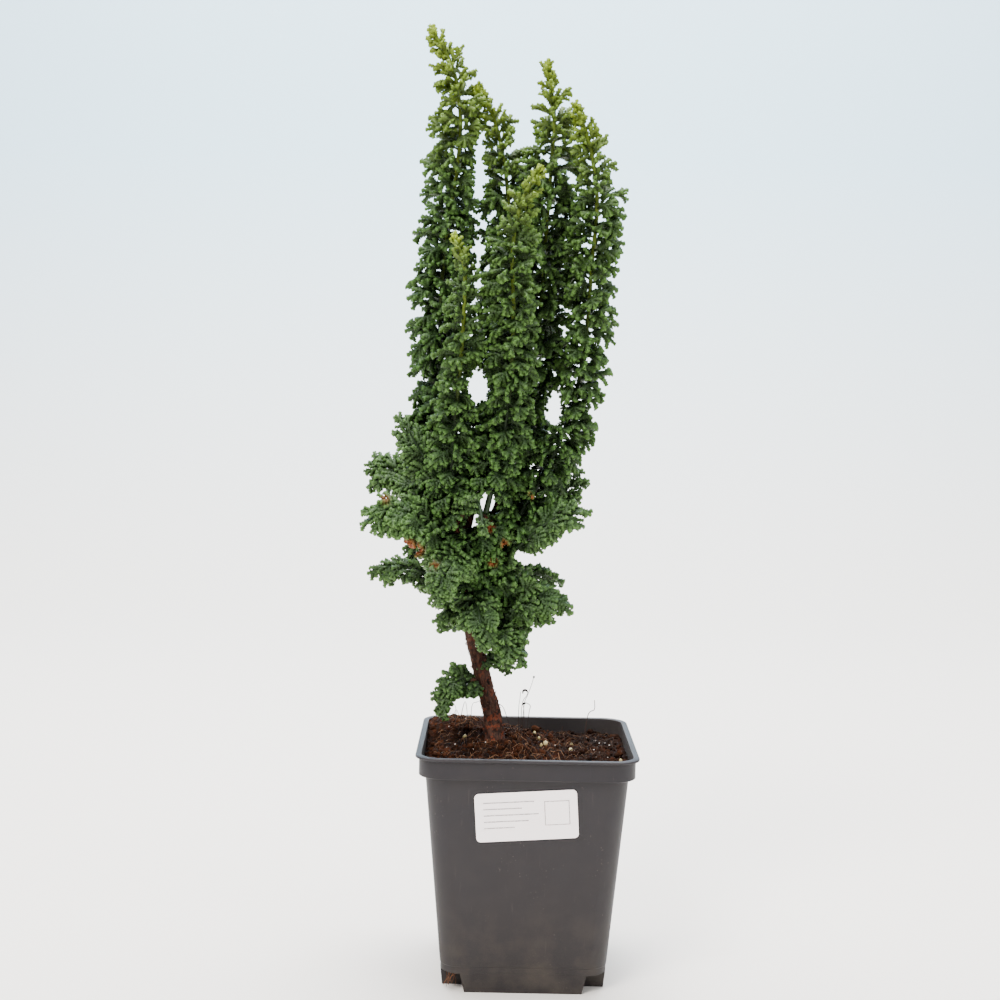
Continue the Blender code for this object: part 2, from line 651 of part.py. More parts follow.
def spray_fans(name, spray):
    """Fans left and right of a side spray, splayed forward and hanging a little, and one at its tip."""
    rng = random.Random(SEED + 100 + sorted(SPRAYS).index(name))
    frames = frames_along(smooth_route(spray["route"], SPRAY_STEP))
    count = len(frames)
    fans = []
    for i, (p, t, _, _) in enumerate(frames[1:]):
        side = 1 if i % 2 else -1
        size = rng.uniform(0.9, 1.1)
        roll = rng.uniform(-0.35, 0.35) + 0.25 * side
        splay = SPRAY_SPLAY + rng.uniform(-0.15, 0.15)
        if i == count - 2:
            splay, size = 0.0, 0.8
        up = Vector(spray["face"])
        up = (up - t * up.dot(t)).normalized()
        heading = (t * math.cos(splay) + up.cross(t) * side * math.sin(splay)).normalized()
        face = Matrix.Rotation(roll, 3, heading) @ up
        fullness = 1 - 0.3 * (i / count) ** 2
        fans.append(dict(root=p - t * 1.5 * MM, heading=heading, face=face,
                         flip=side, spread=SPRAY_FAN_SPREAD, arch=SPRAY_ARCH,
                         length=spray["fan"] * MM * size * fullness, droop=spray["droop"]))
    return fans


def build_shoot(growth, name, route_mm, fans, radius, material):
    """A green stem with its fans fused to it."""
    route = smooth_route(route_mm, 45 * MM)
    radii = [radius + (STEM_TIP_RADIUS - radius) * i / (len(route) - 1) for i in range(len(route))]
    stem = tube(name, route, radii, STEM_SIDES, material)
    blades = [fan_solid(f"{name}_fan", fan, scale) for fan, scale in fitted_fans(growth, name, fans)]
    return fuse(stem, blades)


def main():
    clear_scene()
    build_pot(finish_material("pot plastic", POT_GREY, 0.5))
    build_soil(finish_material("potting soil", SOIL_BROWN, 0.95))
    build_label(finish_material("label paper", PAPER, 0.45))
    build_trunk(finish_material("bark", BARK, 0.85))
    growth = Growth()
    plume_leaf = finish_material("plume foliage", LEAF_GREEN, 0.6)
    spray_leaf = finish_material("spray foliage", LEAF_DEEP, 0.6)
    for name, plume in PLUMES.items():
        build_shoot(growth, name, plume["route"], plume_fans(name, plume), plume["stem"] * MM, plume_leaf)
    for name, spray in SPRAYS.items():
        build_shoot(growth, name, spray["route"], spray_fans(name, spray), SPRAY_STEM, spray_leaf)


main()
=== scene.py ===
"""The looks of a young hinoki cypress bonsai in its square nursery pot.

Every leafy shoot of the frame is replaced by a finer one that grows along the same route: an
arching fan of blunt, scaly branchlets every few millimetres. The trunk gets flaking bark, the
soil its crumbs, grains and fibres, the pot its rolled lip and dust. Metres, +Z up.
"""

import json
import math
import random

import bpy
import numpy as np
from mathutils import Matrix, Vector, noise

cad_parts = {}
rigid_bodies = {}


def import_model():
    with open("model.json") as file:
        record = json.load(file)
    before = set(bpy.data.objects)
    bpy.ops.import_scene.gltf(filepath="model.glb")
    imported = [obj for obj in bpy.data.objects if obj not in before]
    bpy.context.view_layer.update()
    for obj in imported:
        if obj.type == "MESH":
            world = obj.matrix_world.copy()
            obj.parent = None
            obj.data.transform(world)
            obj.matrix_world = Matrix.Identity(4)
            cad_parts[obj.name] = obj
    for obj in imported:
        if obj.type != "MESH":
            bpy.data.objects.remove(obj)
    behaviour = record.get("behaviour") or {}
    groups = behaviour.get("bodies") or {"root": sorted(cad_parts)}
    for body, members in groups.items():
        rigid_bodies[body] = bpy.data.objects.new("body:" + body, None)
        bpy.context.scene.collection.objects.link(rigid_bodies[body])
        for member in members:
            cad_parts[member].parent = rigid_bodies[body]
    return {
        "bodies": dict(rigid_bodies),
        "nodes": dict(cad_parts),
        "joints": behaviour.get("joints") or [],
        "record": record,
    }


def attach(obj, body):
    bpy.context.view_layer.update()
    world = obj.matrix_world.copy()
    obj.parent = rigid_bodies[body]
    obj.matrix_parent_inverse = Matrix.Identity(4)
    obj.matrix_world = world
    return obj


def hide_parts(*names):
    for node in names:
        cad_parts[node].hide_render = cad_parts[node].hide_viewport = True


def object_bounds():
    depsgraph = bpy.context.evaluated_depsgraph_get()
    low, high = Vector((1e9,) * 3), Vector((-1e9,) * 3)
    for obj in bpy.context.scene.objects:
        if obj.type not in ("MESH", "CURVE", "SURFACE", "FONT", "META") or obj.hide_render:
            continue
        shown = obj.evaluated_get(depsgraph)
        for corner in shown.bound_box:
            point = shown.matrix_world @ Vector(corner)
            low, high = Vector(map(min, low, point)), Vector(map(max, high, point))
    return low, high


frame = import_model()
cad_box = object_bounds()

MM = 0.001
GOLDEN_ANGLE = math.radians(137.508)
SEED = 7

# Camera, from a fit to the pot's lip, walls and foot.
CAMERA_PLACE = (-0.0159, -0.8373, 0.2979)
CAMERA_PITCH = math.radians(3.808)
CAMERA_ROLL = math.radians(1.1)
CAMERA_LENS = 59.18

# Upright shoots: routes in millimetres, the same as the frame's. Reach is how far the fans stand out, stem
# the stem's radius at its base, new the length of the fresh tip, skirt how much longer the lowest fans are.
PLUMES = {
    "plume_a": dict(
        route=[(-41, 2, 252), (-45, 5, 276), (-48, 9, 312), (-48, 12, 350), (-45, 13, 382),
               (-41, 15, 412), (-40, 16, 438), (-44, 15, 461), (-54, 14, 479)],
        reach=18.5, stem=1.7, new=85, skirt=0.25),
    "plume_b": dict(
        route=[(-29, 9, 242), (-23, 14, 272), (-18, 19, 308), (-15, 22, 345), (-14, 22, 385),
               (-17, 22, 415), (-23, 21, 438), (-31, 20, 451)],
        reach=18.5, stem=1.6),
    "plume_c": dict(
        route=[(-39, -14, 240), (-40, -20, 264), (-38, -26, 292), (-36, -27, 322), (-35, -27, 347),
               (-36, -26, 360), (-40, -25, 371)],
        reach=15, stem=1.6, new=22),
    "plume_d": dict(
        route=[(-23, -12, 236), (-17, -19, 264), (-12, -24, 298), (-11, -26, 333), (-12, -26, 366),
               (-8, -25, 390), (0, -23, 405)],
        reach=17, stem=1.6, new=42),
    "plume_e": dict(
        route=[(-17, 5, 240), (-8, 7, 270), (-1, 10, 304), (3, 12, 340), (5, 12, 376),
               (7, 12, 413), (8, 12, 438), (4, 10, 462)],
        reach=19.5, stem=1.7),
    "plume_f": dict(
        route=[(-6, 1, 234), (8, 0, 260), (20, -1, 290), (26, -3, 326), (28, -4, 362),
               (30, -4, 393), (26, -4, 420), (19, -5, 439)],
        reach=17, stem=1.7, new=50, skirt=0.45),
}

# Side shoots. Root is where the twig leaves the wood, face the way the flat side looks (FRONT unless it is
# given), fan the length of the fans. They hang by droop, crowd by dense, start as small as slim says, turn
# yellow-green by fresh and are painted darker by light, as painted shade for sprays that lie in shade.
FRONT = (0, -0.8, 0.6)
SPRAYS = {
    "spray_upper_left": dict(
        root=(-36, 0, 230), fan=19, droop=0.2, dense=1.9, light=0.6,
        route=[(-44, 4, 241), (-56, 8, 249), (-68, 10, 255), (-78, 10, 256)]),
    "spray_shoulder_left": dict(
        root=(-38, 1, 240), fan=15, droop=0.1, light=0.7,
        route=[(-45, -4, 248), (-52, -8, 260), (-58, -10, 269), (-63, -9, 277)]),
    "spray_left_front": dict(
        root=(-33, -1, 212), face=(0.2, -0.7, 0.7), fan=20, droop=0.25, dense=1.9, fresh=0.2, light=0.75,
        route=[(-41, -9, 220), (-52, -18, 230), (-63, -24, 236), (-73, -26, 235)]),
    "spray_left_low": dict(
        root=(-30, 1, 186), fan=16, droop=0.4, dense=1.8, slim=0.35, light=0.7,
        route=[(-38, 6, 192), (-50, 11, 200), (-63, 15, 205), (-74, 15, 205)]),
    "spray_centre_front": dict(
        root=(-33, -1, 206), face=(-0.1, -0.4, 0.9), fan=18, droop=0.35, light=0.85,
        route=[(-35, -9, 209), (-38, -21, 214), (-41, -33, 212), (-44, -41, 203)]),
    "spray_low_front": dict(
        root=(-30, 1, 188), face=(0.1, -0.4, 0.9), fan=18, droop=0.35, light=0.85,
        route=[(-29, -8, 189), (-27, -21, 192), (-25, -33, 187), (-24, -40, 177)]),
    "spray_low_left": dict(
        root=(-29, 2, 177), fan=9, droop=0.35, light=0.5,
        route=[(-34, -4, 181), (-38, -10, 186), (-41, -16, 187), (-43, -20, 184)]),
    "spray_low_right": dict(
        root=(-29, 2, 177), fan=20.5, droop=0.5,
        route=[(-20, -1, 181), (-10, -6, 189), (0, -11, 194), (9, -14, 194)]),
    "spray_skirt_right": dict(
        root=(-28, 2, 168), face=(0.3, -0.5, 0.8), fan=19, droop=0.2, light=0.6,
        route=[(-22, -6, 171), (-17, -14, 175), (-12, -21, 175), (-8, -26, 171)]),
    "spray_mid_right": dict(
        root=(-19, 2, 208), fan=16, droop=0.2,
        route=[(-9, -5, 216), (1, -11, 226), (11, -15, 234), (20, -17, 237)]),
    "spray_upper_right": dict(
        root=(-9, 1, 228), face=(0.5, -0.3, 0.8), fan=14, droop=0.2,
        route=[(0, 6, 231), (9, 10, 237), (16, 12, 244), (21, 11, 252)]),
    "spray_upper_front": dict(
        root=(-37, -10, 231), face=(0.2, -0.4, 0.9), fan=8, droop=0.0, light=0.5,
        route=[(-34, -18, 238), (-30, -29, 244), (-26, -39, 242), (-24, -46, 233)]),
    "spray_trunk_right": dict(
        root=(-25, 4, 158), fan=7.5, droop=0.3,
        route=[(-20, 0, 160), (-16, -3, 162), (-13, -6, 161), (-11, -8, 158)]),
    "spray_trunk_left": dict(
        root=(-23, 6, 148), face=(-0.5, -0.8, 0.4), fan=12.5, droop=0.35, dense=2.0, light=0.4,
        route=[(-30, 0, 149), (-36, -4, 150), (-41, -7, 145), (-43, -9, 137)]),
    "spray_back_left": dict(
        root=(-33, -1, 205), face=(-0.3, 0.5, 0.8), fan=18, droop=0.3,
        route=[(-39, 8, 209), (-47, 20, 217), (-54, 30, 220), (-59, 38, 214)]),
    "spray_back_low": dict(
        root=(-30, 0, 190), face=(0, 0.4, 0.9), fan=18, droop=0.35,
        route=[(-28, 10, 192), (-24, 22, 197), (-21, 33, 194), (-19, 41, 186)]),
    "spray_back_right": dict(
        root=(-12, 2, 222), face=(0.2, 0.4, 0.9), fan=18, droop=0.3,
        route=[(-6, 11, 225), (2, 21, 231), (9, 30, 231), (14, 38, 224)]),
    "spray_back_upper": dict(
        root=(-30, 7, 235), face=(0, 0.4, 0.9), fan=18, droop=0.3,
        route=[(-34, 15, 245), (-38, 26, 253), (-42, 36, 253), (-45, 43, 245)]),
    "spray_back_skirt": dict(
        root=(-27, 3, 167), face=(-0.3, 0.5, 0.8), fan=10, droop=0.35,
        route=[(-29, 11, 171), (-34, 21, 178), (-39, 30, 179), (-43, 36, 174)]),
    "spray_right_back": dict(
        root=(-24, 2, 196), face=(0.1, 0.7, 0.7), fan=14, droop=0.2,
        route=[(-15, 8, 197), (-6, 13, 201), (3, 18, 203), (11, 21, 201)]),
}

# Wood, in millimetres: a twig's radii at its two ends, and the trunk's route with its radius at each point.
TWIG_RADII = (1.9, 1.35)
TRUNK_ROUTE = [
    (-16, 8, 86), (-16, 8, 108), (-18, 8, 130), (-22, 6, 145), (-25, 4, 158),
    (-29, 2, 175), (-31, 0, 192), (-33, -1, 210), (-36, 0, 232), (-41, 2, 252),
]
TRUNK_RADII = [5.2, 6.6, 4.5, 4.2, 4.1, 4.0, 3.8, 3.3, 2.5, 1.8]

# Each limb leaves the trunk inside its wood and carries a plume.
LIMB_ROUTES = {
    "limb_b": [(-34, 0, 214), (-32, 5, 228), (-29, 9, 242)],
    "limb_c": [(-33, -1, 208), (-36, -7, 222), (-39, -14, 240)],
    "limb_d": [(-31, 0, 196), (-28, -6, 214), (-23, -12, 236)],
    "limb_e": [(-31, 0, 193), (-25, 3, 216), (-17, 5, 240)],
    "limb_f": [(-29, 2, 180), (-18, 2, 208), (-6, 1, 234)],
}
LIMB_RADII = (2.6, 1.7)

# Pot, from the lip down. A half is measured from the middle to a flat side.
POT_HEIGHT = 120 * MM
LIP_HALF = 55 * MM
LIP_DEPTH = 1.6 * MM
COLLAR_HALF = 53.2 * MM
COLLAR_DEPTH = 10.5 * MM
NECK_HALF = 50 * MM
FOOT_HEIGHT = 9.5 * MM
BODY_BASE_HALF = 41.3 * MM
WALL = 1.2 * MM
LIP_CORNER = 12.5 * MM
COLLAR_CORNER = 12 * MM
BODY_CORNER = 10 * MM
FOOT_ARM_HALF_TOP = 31.3 * MM
FOOT_ARM_HALF_BASE = 29.1 * MM
DRAIN_RADIUS = 4 * MM
POT_STEP_Z = 13 * MM
EDGE_ROUND = 0.35 * MM
CORNER_STEPS = 12
BODY_SLOPE = (NECK_HALF - BODY_BASE_HALF) / (POT_HEIGHT - COLLAR_DEPTH - FOOT_HEIGHT)

# Label on the front wall, and its plain lines in millimetres from its middle: height and right end.
LABEL_WIDTH = 50 * MM
LABEL_HEIGHT = 24.5 * MM
LABEL_CORNER = 2.2 * MM
LABEL_CENTRE_Z = 91.5 * MM
LABEL_TURN = math.radians(3.9)
LABEL_MARGIN = -21
LABEL_LINES = [(7.4, 4), (4.2, -2), (1.0, 6), (-2.2, 1), (-5.4, -6)]

# Soil. Each swell has a middle x and y, its reach in x and y, and its rise, in millimetres.
SOIL_LEVEL = 112 * MM
SOIL_SWELLS = [(-16, 8, 30, 30, 5), (-40, 42, 30, 24, 8), (34, 40, 24, 20, -0.3)]
SOIL_CLEARANCE = 0.3 * MM
SOIL_CELLS = 96

# Feed pellets that stand out on it: middle x and y, and radius, in millimetres.
SOIL_PELLETS = [(-34, -34, 1.4), (-32, 6, 1.3), (6.5, 40, 1.3), (5, 33, 1.1), (7, 18, 1.4), (8, 4, 1.3),
                (10, 1, 1.4), (23, 2, 1.4), (24, 16, 1.1), (37, -26, 1.0), (47, -25, 1.2), (48, -6, 1.1)]

# Dry stalks on it: a route, how many of its last points lie in a dark head, and how thick the stalk is.
DRY_STALKS = [
    ([(-4, 14, 117), (-4, 14, 132), (-3.5, 14, 137), (-3.2, 14, 141)], 0, 0.4),
    ([(-2.2, 14, 117), (-1.2, 14, 134), (0.6, 14, 139.4), (2.4, 14, 144.7), (3.4, 14, 148.3),
      (3.8, 14, 149.4)], 2, 0.4),
    ([(-2.8, 14, 117), (-2.3, 14, 134), (-0.2, 14, 138.6), (0.6, 14, 140.5), (0, 14, 141.6), (-1, 14, 141.9),
      (-1.9, 14, 141.3), (-2.1, 14, 140)], 5, 0.4),
    ([(-0.8, 14, 117), (-1.3, 14, 131.5), (-2, 14, 134), (-1.5, 14, 134.7), (-0.2, 14, 135.1)], 3, 0.4),
    ([(-0.2, 14, 135.1), (1.4, 14, 134.4), (2.2, 14, 133.1), (1.6, 14, 131.2), (0, 14, 117)], 0, 0.4),
    ([(30, 12, 110), (32, 12, 129), (35.3, 12, 132.5), (35.6, 12, 135.1), (35.4, 12, 137.7)], 0, 0.6),
    ([(-35.3, 20, 119), (-33.3, 20, 131.1), (-31.8, 20, 133.3), (-30.1, 20, 119)], 0, 0.4),
    ([(-29, 20, 118), (-28.6, 20, 131.8), (-26, 20, 133.9), (-23.4, 20, 135.1)], 0, 0.4),
    ([(-14.4, 20, 133.1), (-11.7, 20, 130.5), (-7.4, 20, 118)], 0, 0.4),
    ([(-37.4, 20, 119), (-37, 20, 130), (-38.6, 20, 133.2)], 0, 0.4),
]

# Loose flakes of bark, and the heights between which they peel.
FLAKE_COUNT = 300
FLAKED_HEIGHTS = (116 * MM, 215 * MM)

# Foliage.
BOX_LOW, BOX_HIGH = np.array(cad_box)
BRANCHLET_PITCH = 1.5 * MM
BRANCHLET_WIDTH = 3.5 * MM
BRANCHLET_THICK = 2.7 * MM
BRANCHLET_NOTCH = 0.58
BRANCHLET_TIP = 0.3
BRANCHLET_TAPER = 0.25
FORKED_SCALES = 5
FAN_LENGTHS = (6 * MM, 9 * MM, 12 * MM, 15 * MM, 18 * MM)
FAN_FULL_LENGTH = 14 * MM
FAN_STALK_RADII = (0.75, 0.7, 0.6)
FAN_SEED = 13
STEM_SIDES = 8
PLUME_FAN_STEP = 1.6 * MM
PLUME_TAPER_LENGTH = 60 * MM
PLUME_BEND = 1.7
SPRAY_FAN_STEP = 2.0 * MM
SPRAY_BEND = 2.6

# Degrees between a plume's fans and its stem, low down and at its tip, and between a spray's.
PLUME_LEAN = 62
PLUME_TIP_LEAN = 22
SPRAY_SPLAY = (38, 64)

# Gaps that the shoots leave between them, seen from the front: middle x and z, half width and height.
GAPS = [(-30, 410, 1, 14), (-28, 299, 4, 6), (11, 288, 2, 7), (-22, 241, 3.5, 4.5), (-30.5, 231, 2, 3.5),
        (-3, 214, 5, 1.6), (25, 223, 9, 3.5), (-30, 173, 3, 6), (-27, 166, 3, 5)]

# Foliage that has died back to orange brown: middle and reach in millimetres.
DEAD_SPOTS = [(-61, -25, 221, 4.5), (-57, -27, 218, 4.5), (-47, -28, 210, 3.5), (-1, -19, 244, 3.5),
              (-21, -12, 229, 3), (-13, -12, 221, 3), (-19, -12, 212, 3), (-73, -20, 243, 3.5),
              (-38, -6, 229, 3)]


def smooth_route(route_mm, step):
    """Points about step apart on a Catmull-Rom curve through the route."""
    route = [Vector(p) * MM for p in route_mm]
    ends = [route[0] * 2 - route[1], *route, route[-1] * 2 - route[-2]]
    points = []
    for i in range(1, len(ends) - 2):
        p0, p1, p2, p3 = ends[i - 1:i + 3]
        count = max(1, round((p2 - p1).length / step))
        for k in range(count):
            t = k / count
            points.append(0.5 * (2 * p1 + (p2 - p0) * t + (2 * p0 - 5 * p1 + 4 * p2 - p3) * t * t
                                 + (3 * p1 - p0 - 3 * p2 + p3) * t ** 3))
    points.append(route[-1])
    return points


def frames_along(points):
    """For each point: itself, the tangent, and two normals that turn as little as they can."""
    frames = []
    normal = None
    for i, p in enumerate(points):
        tangent = (points[min(i + 1, len(points) - 1)] - points[max(i - 1, 0)]).normalized()
        if normal is None:
            normal = tangent.orthogonal().normalized()
        normal = (normal - tangent * normal.dot(tangent)).normalized()
        frames.append((p, tangent, normal, tangent.cross(normal)))
    return frames


def show(name, mesh, material):
    """Puts the mesh, with its one material, into the scene as an object."""
    mesh.materials.append(material)
    obj = bpy.data.objects.new(name, mesh)
    bpy.context.scene.collection.objects.link(obj)
    return obj


def dress(piece, node=None):
    """Sets a piece on the part's one body; where a node of the frame is given, the piece replaces it."""
    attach(piece, "root")
    if node:
        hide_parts(node)


class Weave:
    """Collects many shells of four-sided faces, with values at their vertices, for one mesh."""

    def __init__(self):
        self.points = []
        self.quads = []
        self.values = {}
        self.count = 0

    def add(self, points, quads, **values):
        points = np.asarray(points, dtype=float)
        self.points.append(points)
        self.quads.append(np.asarray(quads, dtype=int) + self.count)
        for name, value in values.items():
            self.values.setdefault(name, []).append(np.broadcast_to(value, len(points)))
        self.count += len(points)

    def arrays(self):
        values = {name: np.concatenate(parts) for name, parts in self.values.items()}
        return np.concatenate(self.points), np.concatenate(self.quads), values

    def finish(self, name, material):
        """Makes the smooth object, with each value as an attribute of its vertices."""
        points, quads, values = self.arrays()
        mesh = bpy.data.meshes.new(name)
        mesh.vertices.add(len(points))
        mesh.vertices.foreach_set("co", points.astype(np.float32).ravel())
        mesh.loops.add(quads.size)
        mesh.loops.foreach_set("vertex_index", quads.astype(np.int32).ravel())
        mesh.polygons.add(len(quads))
        mesh.polygons.foreach_set("loop_start", np.arange(0, quads.size, 4, dtype=np.int32))
        mesh.polygons.foreach_set("use_smooth", np.full(len(quads), True))
        for key, value in values.items():
            mesh.attributes.new(key, "FLOAT", "POINT").data.foreach_set("value", value.astype(np.float32))
        mesh.update(calc_edges=True)
        mesh.validate()
        return show(name, mesh, material)


def ring_tube(loops):
    """Points and four-sided faces of a tube over loops of equal length; an even one is closed at its ends."""
    loops = np.asarray(loops, dtype=float)
    levels, sides = loops.shape[:2]
    i = np.arange(sides)
    j = (i + 1) % sides
    quads = [np.stack([i + k * sides, j + k * sides, j + (k + 1) * sides, i + (k + 1) * sides], 1)
             for k in range(levels - 1)]
    top = (levels - 1) * sides
    for k in range(sides // 2 - 1):
        a, b, c, d = k, k + 1, sides - 2 - k, sides - 1 - k
        quads.append(np.array([[d, c, b, a], [top + a, top + b, top + c, top + d]]))
    return loops.reshape(-1, 3), np.concatenate(quads)


def stem_tube(weave, points, radii, sides, **values):
    """Adds a round stem over the points."""
    angles = 2 * np.pi * np.arange(sides) / sides
    loops = []
    for (p, _, n, b), radius in zip(frames_along(points), radii):
        ring = np.outer(np.cos(angles), n) + np.outer(np.sin(angles), b)
        loops.append(np.array(p) + ring * radius)
    weave.add(*ring_tube(loops), **values)


def branchlet(scales, width, bend, lift):
    """A flat branchlet along +X; each pair of scale leaves widens to two teeth and steps in again.

    Gives points, faces, how far along each point is (0 to 1) and how near to a tooth it is.
    """
    stations = []
    for k in range(scales):
        stations += [(k + 0.05, BRANCHLET_NOTCH, 0.0), (k + 0.8, 1.0, 1.0)]
    stations.append((scales + 0.15, BRANCHLET_TIP, 1.0))
    loops, along, edge = [], [], []
    for station, size, tip in stations:
        share = station / stations[-1][0]
        x = station * BRANCHLET_PITCH
        w = width / 2 * size * (1.0 - BRANCHLET_TAPER * share ** 2)
        h = BRANCHLET_THICK / 2 * size
        y = bend * x * share
        z = lift * x * share
        loops.append([(x, y - w, z - 0.4 * h), (x, y + w, z - 0.4 * h), (x, y, z + h)])
        along += [share] * 3
        edge += [tip, tip, 0.5 + 0.5 * tip]
    points, quads = ring_tube(loops)
    return points, quads, np.array(along), np.array(edge)


def fan_template(rng, length, bushy):
    """One fan along +X with its upper face to +Z: a stalk, a middle branchlet and others left and right.

    The side branchlets point well forward; bushy (radians) is how far they turn out of the fan's plane.
    """
    weave = Weave()
    stalk = [Vector((x * length, 0, 0)) for x in (0, 0.2, 0.4)]
    stem_tube(weave, stalk, [r * MM for r in FAN_STALK_RADII], 4, along=0.6, edge=0.3)
    width = BRANCHLET_WIDTH * min(1.0, 0.6 + 0.4 * length / FAN_FULL_LENGTH)

    def place(scales, start, angle, tilt, roll):
        bend, lift = rng.uniform(-0.12, 0.12), rng.uniform(-0.15, 0.05)
        points, quads, along, edge = branchlet(scales, width, bend, lift)
        turn = (Matrix.Rotation(roll, 3, "X") @ Matrix.Rotation(angle, 3, "Z")
                @ Matrix.Rotation(-tilt, 3, "Y") @ Matrix.Rotation(rng.uniform(-0.6, 0.6), 3, "X"))
        weave.add(points @ np.array(turn).T + np.array(start), quads, along=along, edge=edge)
        return turn @ Vector((1, 0, 0))

    place(max(2, round(0.8 * length / BRANCHLET_PITCH)), (0.18 * length, 0, 0), 0.0, 0.0, 0.0)
    x = 0.2 * length
    side = rng.choice((-1, 1))
    while x < 0.8 * length:
        share = x / length
        reach = length * (0.6 - 0.4 * share) * rng.uniform(0.85, 1.1)
        scales = max(2, round(reach / BRANCHLET_PITCH))
        angle = side * math.radians(rng.uniform(36, 54) - 10 * share)
        tilt = rng.uniform(-0.2, 0.25)
        roll = rng.uniform(-bushy, bushy)
        way = place(scales, (x, 0, 0), angle, tilt, roll)
        if scales >= FORKED_SCALES:
            start = Vector((x, 0, 0)) + way * (scales * BRANCHLET_PITCH * 0.35)
            swing = side * math.radians(rng.uniform(30, 45))
            place(3, start, angle + swing, tilt + rng.uniform(-0.3, 0.3), roll)
        side = -side
        x += rng.uniform(1.4, 1.9) * MM
    return weave.arrays()


def make_fan_kit(seed, bushy):
    """Four fans of each length, which every shoot picks from."""
    rng = random.Random(seed)
    return {length: [fan_template(rng, length, bushy) for _ in range(4)] for length in FAN_LENGTHS}


def hang(shape, root, heading, face, length, bend):
    """Lays a fan's points along an arc that starts along heading and bends to the ground by bend radians."""
    down = Vector((0, 0, -1))
    down = (down - heading * down.dot(heading)).normalized()
    level = heading.cross(down)
    side = face.cross(heading)
    x, y, z = shape.T
    turned = bend * x / length
    if bend > 0.01:
        forward, sunk = np.sin(turned) / bend * length, (1 - np.cos(turned)) / bend * length
    else:
        forward, sunk = x, np.zeros_like(x)
    across = y * side.dot(level) + z * face.dot(level)
    below = y * side.dot(down) + z * face.dot(down)
    forward = forward - below * np.sin(turned)
    sunk = sunk + below * np.cos(turned)
    return np.array(root) + np.outer(forward, heading) + np.outer(sunk, down) + np.outer(across, level)


def died_back(spots):
    """How dead the foliage is at each spot: 1 in the middle of a dead patch, 0 away from it."""
    dead = np.zeros(len(spots))
    for x, y, z, size in DEAD_SPOTS:
        away = (spots / MM - (x, y, z)) * (1, 0.4, 1) / size
        dead = np.maximum(dead, np.clip(2.2 - 2 * np.linalg.norm(away, axis=1), 0, 1))
    return dead


def in_gap(spots):
    """Whether any of the spots lies in a gap between the shoots."""
    return any(((((spots[:, 0] / MM - x) / w) ** 2 + ((spots[:, 2] / MM - z) / h) ** 2) < 1).any()
               for x, z, w, h in GAPS)


def place_fan(weave, kit, rng, root, heading, face, length, bend, **values):
    """It is made shorter until it lies in the frame's box and clear of the gaps, or left out.
    """
    size = min(FAN_LENGTHS, key=lambda known: abs(known - length))
    shape, quads, marks = rng.choice(kit[size])
    flip = rng.choice((-1, 1))
    clear = False
    while not clear:
        points = shape * (length / size) * (1, flip, 1)
        spots = hang(points, root, heading, face, length, bend)
        clear = (spots > BOX_LOW).all() and (spots < BOX_HIGH).all() and not in_gap(spots)
        length *= 0.88
        if length < 3 * MM:
            return
    reach = np.clip(points[:, 0] / points[:, 0].max(), 0, 1)
    weave.add(spots, quads[:, ::flip], along=marks["along"], edge=marks["edge"], reach=reach,
              dead=died_back(spots), **values)


def grow_plume(kit, name, spec):
    """An upright leafy shoot: a stem and arching fans, one golden angle apart, with short ones between."""
    rng = random.Random(SEED * 31 + sorted(PLUMES).index(name))
    weave = Weave()
    route = smooth_route(spec["route"], PLUME_FAN_STEP)
    frames = frames_along(route)
    last = len(frames) - 1
    radii = [(1.0 + (spec["stem"] - 1.0) * math.exp(-5 * i / last)) * MM for i in range(last + 1)]
    greener = np.repeat(np.linspace(-0.5, 1.1, last + 1), STEM_SIDES)
    stem_tube(weave, route, radii, STEM_SIDES, along=0.6, edge=0.3, tone=np.clip(greener, 0.1, 0.9),
              fresh=np.clip(greener, 0, 0.5), reach=0.0, dead=0.0)
    tip = frames[-1][0]
    limb = LIMB_ROUTES.get(name.replace("plume", "limb"), [])[:-1]
    frames = frames_along(smooth_route([*limb, *spec["route"]], PLUME_FAN_STEP))
    last = len(frames) - 1
    for i, (p, t, n, b) in enumerate(frames[:-1]):
        height = i / last
        young = max(0.0, 1 - (tip - p).length / PLUME_TAPER_LENGTH)
        new = max(0.0, 1 - (tip - p).length / (spec.get("new", 60) * MM))
        # Low down, every second place bears a short fan as well as a long one.
        for short in range(2 if height < 0.65 and i % 2 else 1):
            turn = i * GOLDEN_ANGLE + short * 2.4 + rng.uniform(-0.3, 0.3)
            out = n * math.cos(turn) + b * math.sin(turn)
            lean = math.radians(PLUME_LEAN + (PLUME_TIP_LEAN - PLUME_LEAN) * young ** 2)
            lean += rng.uniform(-0.15, 0.15)
            heading = out * math.sin(lean) + t * math.cos(lean)
            face = (t - heading * t.dot(heading)).normalized()
            face.rotate(Matrix.Rotation(rng.uniform(-1.4, 1.4), 3, heading))
            length = spec["reach"] * MM * rng.uniform(0.84, 1.08)
            length *= 1 - 0.72 * young ** 1.5
            length *= 1 - 0.45 * short
            length *= 1 + spec.get("skirt", 0.0) * max(0.0, 1 - height / 0.45)
            bend = PLUME_BEND * (1 - young) * rng.uniform(0.75, 1.2)
            # Painted shade and light: fans low on the plume are painted darker, fans higher up and at the tip
            # paler.
            light = 0.1 + 0.5 * max(0.0, height - 0.25) + rng.uniform(0, 0.4)
            place_fan(weave, kit, rng, p, heading, face, length, bend, tone=light,
                      fresh=0.1 * height ** 2 + 0.66 * new ** 1.5)
    t, n = frames[-1][1], frames[-1][2]
    for k in range(3):
        face = Matrix.Rotation(k * math.pi / 3, 3, t) @ n
        place_fan(weave, kit, rng, tip - t * 3 * MM, t, face, FAN_LENGTHS[0], 0.0, tone=0.9, fresh=1.0)
    return weave


